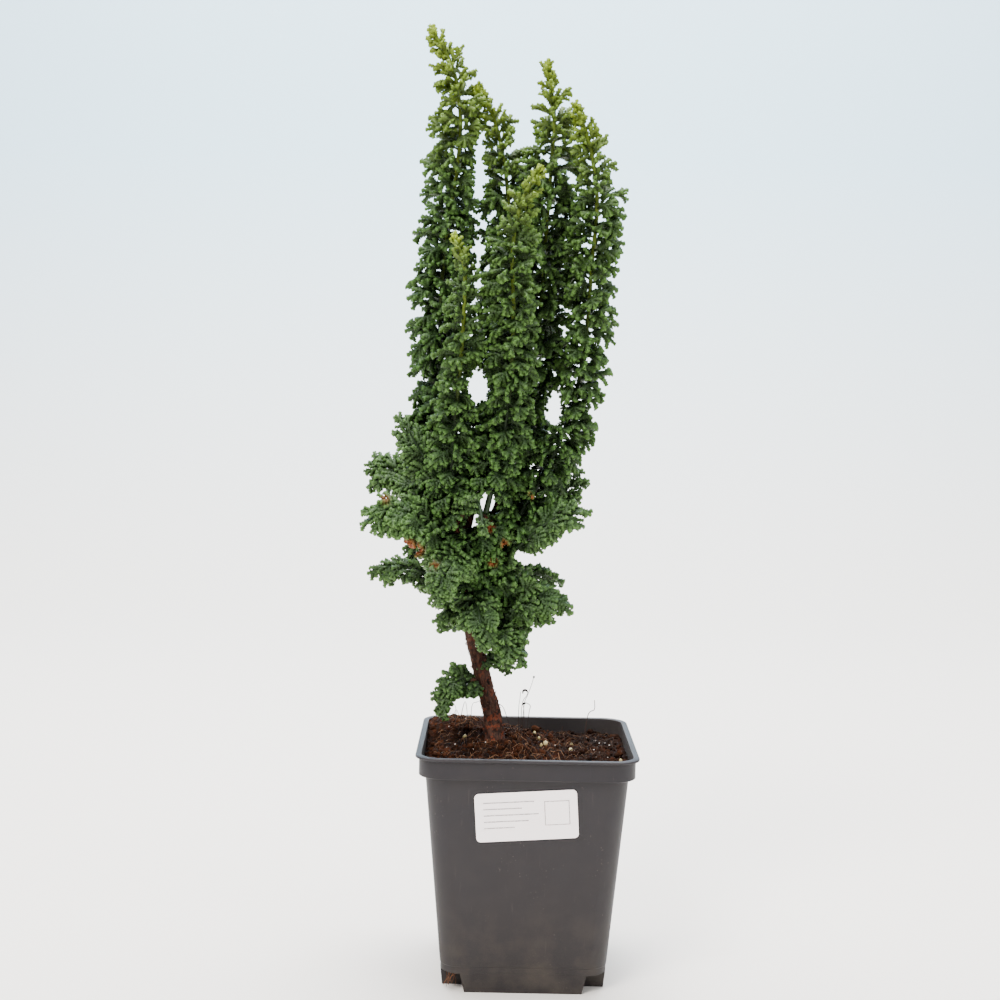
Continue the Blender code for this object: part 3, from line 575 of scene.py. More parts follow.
def grow_spray(kit, name, spec):
    """A side shoot with fans left and right of it, some rolled out of its plane to fill it."""
    rng = random.Random(SEED * 57 + sorted(SPRAYS).index(name))
    weave = Weave()
    route = smooth_route(spec["route"], SPRAY_FAN_STEP)
    radii = np.linspace(1.3, 0.7, len(route)) * MM
    stem_tube(weave, route, radii, STEM_SIDES, along=0.0, edge=0.2, tone=0.4, fresh=0.1, reach=0.0, dead=0.0)
    frames = frames_along(smooth_route([spec["root"], *spec["route"]], SPRAY_FAN_STEP))
    last = len(frames) - 1
    dense = last * spec.get("dense", 1.4)
    for k in range(round(dense) + 1):
        share = min(1.0, k / dense)
        i = round(share * last)
        p, t = frames[i][:2]
        side = 1 if k % 2 else -1
        splay = math.radians(rng.uniform(*SPRAY_SPLAY)) * (1 - 0.25 * share)
        if i == last:
            splay = 0.0
        up = Vector(spec.get("face", FRONT))
        up = (up - t * up.dot(t)).normalized()
        across = Matrix.Rotation(rng.uniform(-0.7, 0.7), 3, t) @ up.cross(t)
        heading = (t * math.cos(splay) + across * side * math.sin(splay)).normalized()
        face = (up - heading * up.dot(heading)).normalized()
        face.rotate(Matrix.Rotation(rng.uniform(-0.5, 0.5), 3, heading))
        length = spec["fan"] * MM * rng.uniform(0.82, 1.05) * (1 - 0.3 * share ** 2)
        length *= min(1.0, spec.get("slim", 0.7) + 2 * spec.get("slim", 1.0) * share)
        # Painted shade: fans near the root, deep in the tree, are painted darker, and light darkens a whole
        # shaded spray.
        light = 0.1 + 0.3 * share + rng.uniform(0, 0.5)
        place_fan(weave, kit, rng, p, heading, face, length, spec["droop"] * SPRAY_BEND,
                  tone=light * spec.get("light", 1.0), fresh=spec.get("fresh", 0.12) * share)
    return weave


def solid(name, points, faces, material, smooth_angle=None):
    """An object over the points; edges that bend more than smooth_angle stay sharp."""
    mesh = bpy.data.meshes.new(name)
    mesh.from_pydata([tuple(p) for p in points], [], faces)
    mesh.update()
    if smooth_angle is not None:
        mesh.shade_smooth()
        mesh.set_sharp_from_angle(angle=smooth_angle)
    return show(name, mesh, material)


def stack(loops):
    """Points and faces of a closed skin over loops of equal length, its two ends capped."""
    count = len(loops[0])
    points = [p for loop in loops for p in loop]
    faces = []
    for level in range(len(loops) - 1):
        for i in range(count):
            a = level * count + i
            b = level * count + (i + 1) % count
            faces.append((a, b, b + count, a + count))
    last = (len(loops) - 1) * count
    return points, faces + [tuple(reversed(range(count))), tuple(range(last, last + count))]


def round_rectangle(half_x, half_y, corner, z, steps=CORNER_STEPS):
    """A rectangle with round corners, counter-clockwise from the front right, seen from above."""
    points = []
    for quarter, (along, across) in enumerate(((half_x, half_y), (half_y, half_x)) * 2):
        turn = Matrix.Rotation(quarter * math.pi / 2, 3, "Z")
        for step in range(steps + 1):
            angle = step / steps * math.pi / 2
            x = along - corner + corner * math.sin(angle)
            y = -across + corner - corner * math.cos(angle)
            points.append(turn @ Vector((x, y, z)))
    return points


def body_half(z):
    """Outer half-width of the pot's tapered wall at height z."""
    return BODY_BASE_HALF + BODY_SLOPE * (z - FOOT_HEIGHT)


def pot_section():
    """Loops over the outside of the pot, round its lip and down the inside, each edge rolled."""
    collar_z = POT_HEIGHT - COLLAR_DEPTH
    lip_z = POT_HEIGHT - LIP_DEPTH
    floor_z = FOOT_HEIGHT + WALL
    ledge_z = collar_z + WALL
    r = EDGE_ROUND
    inner = COLLAR_HALF - WALL
    inner_corner = COLLAR_CORNER - WALL
    rings = [
        (BODY_BASE_HALF - r, BODY_CORNER, FOOT_HEIGHT),
        (BODY_BASE_HALF, BODY_CORNER, FOOT_HEIGHT + r),
        (body_half(POT_STEP_Z) - 0.25 * MM, BODY_CORNER, POT_STEP_Z),
        (body_half(POT_STEP_Z), BODY_CORNER, POT_STEP_Z + r),
        (NECK_HALF - 0.1 * MM, BODY_CORNER, collar_z - 1.2 * MM),
        (NECK_HALF, BODY_CORNER, collar_z),
        (COLLAR_HALF - r, COLLAR_CORNER, collar_z),
        (COLLAR_HALF, COLLAR_CORNER, collar_z + r),
        (COLLAR_HALF, COLLAR_CORNER, lip_z - 0.4 * MM),
        (COLLAR_HALF + 0.4 * MM, COLLAR_CORNER, lip_z),
        (LIP_HALF - 0.5 * MM, LIP_CORNER, lip_z + 0.05 * MM),
        (LIP_HALF - 0.1 * MM, LIP_CORNER, lip_z + 0.3 * MM),
        (LIP_HALF, LIP_CORNER, lip_z + 0.8 * MM),
        (LIP_HALF - 0.15 * MM, LIP_CORNER, POT_HEIGHT - 0.3 * MM),
        (LIP_HALF - 0.6 * MM, LIP_CORNER, POT_HEIGHT),
        (inner + 0.3 * MM, inner_corner, POT_HEIGHT),
        (inner, inner_corner, POT_HEIGHT - 0.3 * MM),
        (inner, inner_corner, ledge_z),
        (body_half(ledge_z) - WALL, BODY_CORNER - WALL, ledge_z),
        (body_half(floor_z) - WALL, BODY_CORNER - WALL, floor_z)]
    return [round_rectangle(half, half, corner, z) for half, corner, z in rings]


def foot_bar(name, inset, base_z, top_z, material):
    """One bar of the cross-shaped foot, its ends sloping in towards the ground."""
    loops = []
    for z in (base_z, top_z):
        share = z / FOOT_HEIGHT
        across = FOOT_ARM_HALF_BASE + share * (FOOT_ARM_HALF_TOP - FOOT_ARM_HALF_BASE) - inset
        along = body_half(z) - inset
        loops.append([Vector((across, -along, z)), Vector((across, along, z)),
                      Vector((-across, along, z)), Vector((-across, -along, z))])
    return solid(name, *stack(loops), material)


def join_solids(obj, others, operation):
    """Applies one Boolean between obj and the other solids, then removes them."""
    helpers = bpy.data.collections.new("helpers")
    bpy.context.scene.collection.children.link(helpers)
    for other in others:
        bpy.context.scene.collection.objects.unlink(other)
        helpers.objects.link(other)
    step = obj.modifiers.new("join", "BOOLEAN")
    step.operation = operation
    step.operand_type = "COLLECTION"
    step.collection = helpers
    graph = bpy.context.evaluated_depsgraph_get()
    mesh = bpy.data.meshes.new_from_object(obj.evaluated_get(graph))
    obj.modifiers.remove(step)
    obj.data = mesh
    for other in list(helpers.objects):
        bpy.data.objects.remove(other)
    bpy.data.collections.remove(helpers)


def mould_pot(material):
    """The hollow pot with its cross-shaped foot and a drain hole over each cut-away corner."""
    pot = solid("pot_shell", *stack(pot_section()), material)
    bars = [foot_bar("bar", 0, 0, FOOT_HEIGHT + WALL * 0.6, material) for _ in range(2)]
    bars[1].rotation_euler.z = math.pi / 2
    join_solids(pot, bars, "UNION")
    wells = [foot_bar("well", WALL, WALL, FOOT_HEIGHT + WALL * 2, material) for _ in range(2)]
    wells[1].rotation_euler.z = math.pi / 2
    drain_at = (FOOT_ARM_HALF_TOP + BODY_BASE_HALF) / 2 - 1 * MM
    angles = np.linspace(0, 2 * math.pi, 24, endpoint=False)
    for x in (-drain_at, drain_at):
        for y in (-drain_at, drain_at):
            loops = [[Vector((x + DRAIN_RADIUS * math.cos(a), y + DRAIN_RADIUS * math.sin(a), z))
                      for a in angles] for z in (FOOT_HEIGHT - 2 * MM, FOOT_HEIGHT + 2 * WALL)]
            wells.append(solid("drain", *stack(loops), material))
    join_solids(pot, wells, "DIFFERENCE")
    pot.data.shade_smooth()
    pot.data.set_sharp_from_angle(angle=math.radians(28))
    return pot


def soil_height(x, y):
    """The soil's top: its swells with coarse and fine lumps, nowhere below the pot's inner ledge."""
    z = SOIL_LEVEL
    for middle_x, middle_y, reach_x, reach_y, rise in SOIL_SWELLS:
        away = ((x / MM - middle_x) / reach_x) ** 2 + ((y / MM - middle_y) / reach_y) ** 2
        z += rise * MM * math.exp(-away)
    lumps = math.sin(x * 410 + 1.3) * math.sin(y * 460 + 0.4) + 0.7 * math.sin(x * 820 - y * 600)
    coarse = noise.noise(Vector((x, y, 0)) * 210)
    fine = noise.noise(Vector((x, y, 0)) * 620)
    z += (0.88 * lumps + 1.3 * coarse + 0.75 * fine) * MM
    return max(z, POT_HEIGHT - COLLAR_DEPTH + 2.2 * MM)


def lay_soil(material):
    """The block of soil that fills the pot, its surface a fine grid pulled into the pot's corners."""
    half = COLLAR_HALF - WALL - SOIL_CLEARANCE
    corner = COLLAR_CORNER - WALL
    count = SOIL_CELLS
    points = []
    for j in range(count + 1):
        for i in range(count + 1):
            x = (2 * i / count - 1) * half
            y = (2 * j / count - 1) * half
            a = (abs(x) - half + corner) / corner
            b = (abs(y) - half + corner) / corner
            if a > 0 and b > 0:
                pull = max(a, b) / math.hypot(a, b)
                x = math.copysign(half - corner + corner * a * pull, x)
                y = math.copysign(half - corner + corner * b * pull, y)
            points.append((x, y, soil_height(x, y)))
    row = count + 1
    faces = [(j * row + i, j * row + i + 1, (j + 1) * row + i + 1, (j + 1) * row + i)
             for j in range(count) for i in range(count)]
    rim = [*range(count), *(j * row + count for j in range(count)),
           *(count * row + i for i in range(count, 0, -1)), *(j * row for j in range(count, 0, -1))]
    ledge_z = POT_HEIGHT - COLLAR_DEPTH + WALL + SOIL_CLEARANCE
    floor_z = FOOT_HEIGHT + WALL + SOIL_CLEARANCE
    above = rim
    for z, inner in ((ledge_z, half), (ledge_z, body_half(ledge_z) - WALL - 2 * SOIL_CLEARANCE),
                     (floor_z, body_half(floor_z) - WALL - SOIL_CLEARANCE)):
        base = len(points)
        points += [(points[k][0] * inner / half, points[k][1] * inner / half, z) for k in rim]
        below = list(range(base, base + len(rim)))
        faces += zip(above, below, below[1:] + below[:1], above[1:] + above[:1])
        above = below
    faces.append(tuple(reversed(above)))
    return solid("soil_ground", points, faces, material, math.radians(75))


def crumb(rng, size):
    """A small lumpy clod: points and faces of a rough six-sided lump."""
    sides, levels = 6, 3
    seed = Vector((rng.uniform(0, 99), rng.uniform(0, 99), rng.uniform(0, 99)))
    stretch = np.array([rng.uniform(0.7, 1.3), rng.uniform(0.7, 1.2), rng.uniform(0.6, 1.0)]) * size
    loops = []
    for k in range(levels):
        lean = math.pi * (k + 0.5) / levels
        loop = []
        for s in range(sides):
            turn = 2 * math.pi * s / sides
            way = Vector((math.sin(lean) * math.cos(turn), math.sin(lean) * math.sin(turn), -math.cos(lean)))
            loop.append(way * (1 + 0.45 * noise.noise(way * 1.7 + seed)))
        loops.append(loop)
    points, quads = ring_tube(loops)
    turn = Matrix.Rotation(rng.uniform(0, 6.3), 3, "Z") @ Matrix.Rotation(rng.uniform(-0.8, 0.8), 3, "X")
    return (points * stretch) @ np.array(turn).T, quads


def clear_of_trunk(x, y, margin):
    """Whether a place on the soil is further than margin from the trunk's foot."""
    trunk_x, trunk_y = TRUNK_ROUTE[1][:2]
    return math.hypot(x - trunk_x * MM, y - trunk_y * MM) > TRUNK_RADII[1] * MM + margin


def scatter(weave, rng, count, sizes, sink, **values):
    """Drops crumbs over the soil; sink is the share of their size that lies in it."""
    placed = 0
    half = COLLAR_HALF - WALL - 2.5 * MM
    while placed < count:
        x, y = rng.uniform(-half, half), rng.uniform(-half, half)
        size = rng.uniform(*sizes) * MM
        in_round_corner = abs(x) + abs(y) > 1.82 * half
        if in_round_corner or not clear_of_trunk(x, y, size):
            continue
        points, quads = crumb(rng, size)
        points = points + (x, y, soil_height(x, y) + size * (0.7 - sink))
        points[:, 2] = np.minimum(points[:, 2], POT_HEIGHT + 2 * MM)
        weave.add(points, quads, tone=rng.random(), **values)
        placed += 1


def strew_fibres(weave, rng, count, rise):
    """Thin bits of root and peat moss that lie across the crumbs or stand up by rise."""
    half = COLLAR_HALF - WALL - 5 * MM
    for _ in range(count):
        x, y = rng.uniform(-half, half), rng.uniform(-half, half)
        if not clear_of_trunk(x, y, 3 * MM):
            continue
        heading = rng.uniform(0, 2 * math.pi)
        curl = rng.uniform(-0.4, 0.4)
        step = rng.uniform(0.7, 2.0) * MM
        points = []
        arch = rise * rng.random()
        for k in range(6):
            lift = 0.4 * MM + arch * math.sin(math.pi * k / 5)
            points.append(Vector((x, y, soil_height(x, y) + lift)))
            heading += curl
            x = max(-half, min(half, x + step * math.cos(heading)))
            y = max(-half, min(half, y + step * math.sin(heading)))
        # Fibres towards the right are darker, as the ground there is.
        dry = 1 - 0.85 * min(1, max(0, points[0].x / half + 0.1))
        stem_tube(weave, points, [rng.uniform(0.06, 0.16) * MM] * 6, 4, tone=rng.random() ** 3 * 1.5 * dry)


def cover_soil(crumb_material, fibre_material, perlite_material, pellet_material):
    """Crumbs, fibres, white perlite and a few slow-release pellets on top of the soil."""
    rng = random.Random(SEED + 3)
    crumbs, fibres, perlite, pellets = Weave(), Weave(), Weave(), Weave()
    scatter(crumbs, rng, 950, (0.4, 1.3), 0.4)
    scatter(crumbs, rng, 110, (1.3, 2.6), 0.45)
    strew_fibres(fibres, rng, 620, 1.6 * MM)
    strew_fibres(fibres, rng, 170, 5 * MM)
    scatter(perlite, rng, 90, (0.22, 0.5), 0.0)
    for x, y, size in SOIL_PELLETS:
        points, quads = crumb(rng, size * MM)
        spot = (x * MM, y * MM, soil_height(x * MM, y * MM) + (size * 0.6 + 0.7) * MM)
        pellets.add(points + spot, quads, tone=rng.random())
    for weave, name, material in ((crumbs, "soil_crumbs", crumb_material),
                                  (fibres, "soil_fibres", fibre_material),
                                  (perlite, "soil_perlite", perlite_material),
                                  (pellets, "soil_pellets", pellet_material)):
        dress(weave.finish(name, material))


def bark_depth(turn, z, girth):
    """How far the bark stands out, as a share of the radius: rough plates with torn gaps between."""
    round_x, round_y = math.cos(turn), math.sin(turn)
    plates = noise.noise(Vector((round_x * 2.2, round_y * 2.2, z * 130)))
    strips = noise.noise(Vector((round_x * 4.5, round_y * 4.5, z * 210 + 7)))
    scales = noise.noise(Vector((round_x * 7, round_y * 7, z * 700 + 31)))
    tear = -0.09 if strips < -0.18 else 0.0
    return girth * (0.13 * plates + 0.11 * strips + 0.09 * scales + tear)


def wooden_tube(points, radii, sides, girth):
    """Loops of a woody stem whose bark is rough in proportion to girth."""
    loops = []
    for (p, _, n, b), radius in zip(frames_along(points), radii):
        loop = []
        for k in range(sides):
            turn = 2 * math.pi * k / sides
            r = radius * (1 + bark_depth(turn, p.z, girth))
            loop.append(p + (n * math.cos(turn) + b * math.sin(turn)) * r)
        loops.append(loop)
    return ring_tube(loops)


def trunk_radius(z):
    """The trunk's radius at height z, before its bark is roughened."""
    return float(np.interp(z, [p[2] * MM for p in TRUNK_ROUTE], TRUNK_RADII)) * MM


def grow_wood(material):
    """Trunk, limbs and twigs, with the same routes as the frame's, and flakes that peel off them."""
    weave = Weave()
    spine = smooth_route(TRUNK_ROUTE, 1.0 * MM)
    weave.add(*wooden_tube(spine, [trunk_radius(p.z) for p in spine], 48, 1.0), tone=0.5)
    limbs = [(route, LIMB_RADII, 16, 0.7) for route in LIMB_ROUTES.values()]
    twigs = [((spec["root"], spec["route"][0]), TWIG_RADII, 12, 0.6) for spec in SPRAYS.values()]
    for route, (thick, thin), sides, girth in limbs + twigs:
        points = smooth_route(route, 1.5 * MM)
        radii = np.linspace(thick * MM, thin * MM, len(points))
        weave.add(*wooden_tube(points, radii, sides, girth), tone=0.4)
    peel_flakes(weave, spine)
    dress(weave.finish("trunk_bark", material), "trunk_and_limbs")


def peel_flakes(weave, spine):
    """Thin strips of bark that have come loose at one end."""
    rng = random.Random(SEED + 5)
    low, high = FLAKED_HEIGHTS
    frames = [frame for frame in frames_along(spine) if low < frame[0].z < high]
    for _ in range(FLAKE_COUNT):
        p, t, n, b = rng.choice(frames)
        turn = rng.uniform(0, 2 * math.pi)
        out = n * math.cos(turn) + b * math.sin(turn)
        across = t.cross(out)
        length = rng.uniform(1.2, 3.2) * MM * rng.choice((-1, 1))
        width = rng.uniform(0.3, 0.8) * MM
        lift = rng.uniform(0.3, 1.4) * MM
        loops = []
        for k in range(6):
            share = k / 5
            middle = p + t * (length * share) + out * (trunk_radius(p.z) * 0.97 + lift * share ** 2)
            w = width * (1 - 0.6 * share ** 2)
            curl = out * (-0.25 * w)
            half = out * 0.12 * MM
            loops.append([middle - across * w + curl - half, middle + across * w + curl - half,
                          middle + across * w + curl + half, middle - across * w + curl + half])
        weave.add(*ring_tube(loops), tone=rng.random())


def print_label(material):
    """The paper sticker, turned a little on the sloping front wall."""
    loops = [round_rectangle(LABEL_WIDTH / 2, LABEL_HEIGHT / 2, LABEL_CORNER, z, 6)
             for z in (0.05 * MM, 0.35 * MM)]
    label = solid("label_sticker", *stack(loops), material, math.radians(30))
    label.matrix_world = (Matrix.Translation((0, -body_half(LABEL_CENTRE_Z) - 0.3 * MM, LABEL_CENTRE_Z))
                          @ Matrix.Rotation(math.pi / 2 + math.atan(BODY_SLOPE), 4, "X")
                          @ Matrix.Rotation(LABEL_TURN, 4, "Z"))
    return label


def add_stalks(material):
    """Dry stalks of moss, some with a dark hooked head, and bent wiry stems."""
    weave = Weave()
    for route, head, thick in DRY_STALKS:
        points = smooth_route(route, 0.8 * MM)
        stem_tube(weave, points, np.linspace(0.5, 0.33, len(points)) * thick * MM, 6, tone=0.3)
        if head:
            points = smooth_route(route[-head:], 0.4 * MM)
            swell = np.sin(np.linspace(0.35, 2.8, len(points)))
            stem_tube(weave, points, swell * 0.6 * MM, 8, tone=0.0)
    dress(weave.finish("dry_stalks", material))


def add_roots(material):
    """Fine roots that have grown out of the drain hole behind the foot's front left notch."""
    rng = random.Random(SEED + 9)
    weave = Weave()
    for _ in range(11):
        route = [Vector((rng.uniform(-38.5, -33), rng.uniform(-38.5, -33), 10.5))]
        for _ in range(4):
            drift = (rng.uniform(-1.6, 1.2), rng.uniform(-1.8, 0.8), rng.uniform(-2.6, -0.8))
            spot = route[-1] + Vector(drift)
            spot.z = max(spot.z, 0.6)
            route.append(spot)
        points = smooth_route(route, 0.7 * MM)
        stem_tube(weave, points, np.linspace(0.2 * MM, 0.1 * MM, len(points)), 5, tone=rng.random())
    dress(weave.finish("fine_roots", material))


# The two kinds of socket that an effect takes and gives.
COLOUR = "NodeSocketColor"
AMOUNT = "NodeSocketFloat"


class Recipe:
    """Adds nodes to one node tree; a value may be a number, a colour or another node's output."""

    def __init__(self, tree):
        self.tree = tree
        self.nodes = tree.nodes

    def feed(self, socket, value):
        if isinstance(value, bpy.types.NodeSocket):
            self.tree.links.new(value, socket)
        elif isinstance(value, tuple) and len(value) == 3 and socket.type == "RGBA":
            socket.default_value = (*value, 1)
        else:
            socket.default_value = value

    def node(self, kind, *values, **named):
        """A new node's outputs. Values go to its inputs in order, a name with a capital is one of its
        inputs, and any other name is a setting."""
        node = self.nodes.new(f"ShaderNode{kind}")
        for key, value in named.items():
            if key[0].isupper():
                self.feed(node.inputs[key.replace("_", " ")], value)
            else:
                setattr(node, key, value)
        for socket, value in zip(node.inputs, values):
            self.feed(socket, value)
        return node.outputs

    def attribute(self, key):
        return self.node("Attribute", attribute_name=key)["Fac"]

    def place(self):
        """Where the point lies, in the object's own metres."""
        return self.node("TexCoord")["Object"]

    def outward(self):
        """How far the surface faces away from the object's upright axis, times the distance from it."""
        facing = self.node("TexCoord")["Normal"]
        return self.node("VectorMath", facing, self.stretched((1, 1, 0)), operation="DOT_PRODUCT")["Value"]

    def stretched(self, scale, turn=(0, 0, 0)):
        return self.node("Mapping", Vector=self.place(), Scale=scale, Rotation=turn)[0]

    def noise(self, scale, detail=3, where=None, warp=0.0):
        return self.node("TexNoise", Vector=where or self.place(), Scale=scale, Detail=detail,
                         Distortion=warp)["Fac"]

    def cells(self, scale):
        return self.node("TexVoronoi", Vector=self.place(), Scale=scale)["Distance"]

    def math(self, kind, *values):
        return self.node("Math", *values, operation=kind)[0]

    def times(self, *values):
        return self.math("MULTIPLY", *values)

    def spread(self, value, low, high, to_low=0.0, to_high=1.0):
        """Maps low..high to to_low..to_high and holds it there."""
        return self.node("MapRange", value, low, high, to_low, to_high)[0]

    def mix(self, share, a, b):
        node = self.nodes.new("ShaderNodeMix")
        node.data_type = "RGBA"
        for index, value in ((0, share), (6, a), (7, b)):
            self.feed(node.inputs[index], value)
        return node.outputs[2]

    def split(self, vector):
        return self.node("SeparateXYZ", vector)

    def group(self, effect, **values):
        return self.node("Group", node_tree=effect, **values)


class Finish(Recipe):
    """A new material: a recipe that ends in its Principled shader."""

    def __init__(self, name, **constants):
        self.material = bpy.data.materials.new(name)
        self.material.use_nodes = True
        super().__init__(self.material.node_tree)
        self.shader = self.nodes["Principled BSDF"]
        for key, value in constants.items():
            self.feed(self.shader.inputs[key.replace("_", " ")], value)

    def done(self, colour, roughness, height, depth):
        """Joins colour and roughness to the shader, and height as bumps of the given depth in metres."""
        bump = self.node("Bump", Distance=depth, Height=height)[0]
        for key, value in (("Base Color", colour), ("Roughness", roughness), ("Normal", bump)):
            self.feed(self.shader.inputs[key], value)
        return self.material


def new_effect(name, inputs, outputs):
    """A shader node group: a recipe to fill it, its inputs and its outputs.

    Each name is followed by its kind of socket, and the two kinds are COLOUR and AMOUNT.
    """
    tree = bpy.data.node_groups.new(name, "ShaderNodeTree")
    for way, sockets in (("INPUT", inputs), ("OUTPUT", outputs)):
        for key, kind in sockets.items():
            tree.interface.new_socket(key, in_out=way, socket_type=kind)
    return Recipe(tree), tree.nodes.new("NodeGroupInput").outputs, tree.nodes.new("NodeGroupOutput").inputs


def dust_effect():
    """Pale dust and dried splashes that lie in patches over a surface."""
    recipe, given, out = new_effect(
        "dust", {"Colour": COLOUR, "Roughness": AMOUNT, "Dust Colour": COLOUR, "Amount": AMOUNT,
                 "Patch Scale": AMOUNT}, {"Colour": COLOUR, "Roughness": AMOUNT})
    patches = recipe.spread(recipe.noise(given["Patch Scale"], 5), 0.42, 0.72)
    grains = recipe.spread(recipe.noise(2600, 2), 0.45, 0.7)
    cover = recipe.times(recipe.math("ADD", patches, recipe.times(grains, 0.35)), given["Amount"])
    recipe.feed(out["Colour"], recipe.mix(cover, given["Colour"], given["Dust Colour"]))
    recipe.feed(out["Roughness"], recipe.math("ADD", given["Roughness"], recipe.times(cover, 0.3)))
    return recipe.tree


def leaf_effect():
    """Scale foliage: deep green inside and where its tone is low, as painted shade; lighter at the scales'
    edges and the branchlets' outer ends, as painted highlights; yellow-green where it is new.
    """
    recipe, given, out = new_effect(
        "scale foliage", {"Deep": COLOUR, "Mid": COLOUR, "Light": COLOUR, "New": COLOUR},
        {"Colour": COLOUR, "Height": AMOUNT})
    along, edge, tone, fresh, reach, dead = (
        recipe.attribute(key) for key in ("along", "edge", "tone", "fresh", "reach", "dead"))
    mottle = recipe.noise(700, 4)
    # Painted shade: a low tone, set by where the fan sits in the tree, keeps it deep green.
    body = recipe.mix(recipe.times(tone, 0.75), given["Deep"], given["Mid"])
    # Painted light: the branchlets' ends, most of all at a fan's outer reach, are painted lighter.
    ends = recipe.math("POWER", along, 2.2)
    outward = recipe.times(ends, recipe.math("MULTIPLY_ADD", reach, 0.75, 0.15))
    body = recipe.mix(outward, body, given["Light"])
    # Painted highlights: the scales' teeth are painted lighter, and the notches between them stay dark as
    # painted shade.
    body = recipe.mix(recipe.times(recipe.times(edge, mottle), 0.45), body, given["Light"])
    grown = recipe.times(fresh, recipe.math("MULTIPLY_ADD", along, 0.7, 0.3))
    body = recipe.mix(grown, body, given["New"])
    rust = recipe.mix(mottle, (0.09, 0.016, 0.004), (0.34, 0.075, 0.014))
    recipe.feed(out["Colour"], recipe.mix(dead, body, rust))
    recipe.feed(out["Height"], recipe.math("MULTIPLY_ADD", edge, 0.6, mottle))
    return recipe.tree


def leaf_finish(name, effect, gloss, deep, mid, light, new):
    finish = Finish(name, Specular_IOR_Level=gloss)
    leaf = finish.group(effect, Deep=deep, Mid=mid, Light=light, New=new)
    roughness = finish.spread(finish.noise(420, 2), 0.3, 0.7, 0.42, 0.62)
    return finish.done(leaf["Colour"], roughness, leaf["Height"], 0.12 * MM)


def pot_finish(dust):
    """Matt recycled plastic with a grained wall, scuffs and a painted highlight along the lip, an inside
    painted lighter where the tree shades it, and fine scratches up and down.
    """
    finish = Finish("pot plastic", Specular_IOR_Level=0.28)
    height = finish.split(finish.place())[2]
    cloud = finish.math("MULTIPLY_ADD", finish.noise(45, 4), 0.2,
                        finish.spread(height, 0.0, 90 * MM, 0.0, 0.8))
    colour = finish.mix(cloud, (0.0148, 0.0116, 0.0120), (0.0132, 0.0116, 0.0143))
    # The inside below the rim is painted lighter and browner: painted light where the tree shades it, with
    # some dust.
    inside = finish.times(finish.math("LESS_THAN", finish.outward(), -0.2 * LIP_HALF),
                          finish.spread(height, POT_HEIGHT - 14 * MM, POT_HEIGHT - 10 * MM))
    colour = finish.mix(inside, colour, (0.066, 0.055, 0.052))
    scratch = finish.noise(1, 3, finish.stretched((900, 900, 26), (0.05, 0.03, 0)))
    scratch = finish.spread(scratch, 0.66, 0.78, 0.0, 0.12)
    scuff = finish.times(finish.spread(finish.noise(900, 3), 0.66, 0.72, 0.0, 0.8),
                         finish.spread(finish.noise(60, 2), 0.55, 0.7))
    marks = finish.math("MAXIMUM", scratch, scuff)
    # The top of the lip is painted lighter: partly scuffing, partly a painted highlight along its edge.
    lip = finish.spread(height, POT_HEIGHT - 1.3 * MM, POT_HEIGHT - 0.2 * MM, 0.0, 0.25)
    wear_and_lip_highlight = finish.math("MAXIMUM", marks, finish.times(lip, finish.noise(300, 3)))
    colour = finish.mix(wear_and_lip_highlight, colour, (0.080, 0.060, 0.055))
    foot = finish.spread(height, 0.0, 45 * MM, 0.8, 0.08)
    dusty = finish.group(dust, Colour=colour, Roughness=0.52, Dust_Colour=(0.05, 0.041, 0.034), Amount=foot,
                         Patch_Scale=70.0)
    relief = finish.math("ADD", finish.times(finish.noise(2400, 2), 0.5), finish.times(marks, -0.8))
    return finish.done(dusty["Colour"], dusty["Roughness"], relief, 0.06 * MM)


def label_finish(dust):
    """Coated paper with plain ruled lines and an empty frame, a little soiled at its edges."""
    # The emission set here is painted light: the paper glows faintly, though it is no lamp.
    finish = Finish("label paper", Specular_IOR_Level=0.5, Emission_Strength=0.35)
    x, y, _ = finish.split(finish.place())
    x = finish.times(x, 1000)
    y = finish.times(y, 1000)

    def band(value, middle, half):
        return finish.math("LESS_THAN", finish.math("ABSOLUTE", finish.math("SUBTRACT", value, middle)), half)

    def box(middle_x, middle_y, half_x, half_y):
        """1 inside a box on the paper, in millimetres from its middle, and 0 outside it."""
        return finish.times(band(x, middle_x, half_x), band(y, middle_y, half_y))

    ink = finish.math("SUBTRACT", box(15, 1, 6.2, 6.2), box(15, 1, 5.7, 5.7))
    for row, end in LABEL_LINES:
        middle = (LABEL_MARGIN + end) / 2
        ink = finish.math("MAXIMUM", ink, box(middle, row, end - middle, 0.32))
    fibre = finish.noise(1800, 3)
    paper = finish.mix(fibre, (0.98, 0.88, 0.87), (1.0, 0.92, 0.91))
    broken = finish.spread(finish.noise(1500, 2), 0.3, 0.6, 0.55, 0.9)
    printed = finish.mix(finish.times(ink, broken), paper, (0.17, 0.17, 0.18))
    dusty = finish.group(dust, Colour=printed, Roughness=0.42, Dust_Colour=(0.60, 0.52, 0.46), Amount=0.06,
                         Patch_Scale=120.0)
    # The paper is given a faint glow of its own: painted light that makes it look whiter.
    finish.feed(finish.shader.inputs["Emission Color"], dusty["Colour"])
    return finish.done(dusty["Colour"], dusty["Roughness"], fibre, 0.02 * MM)


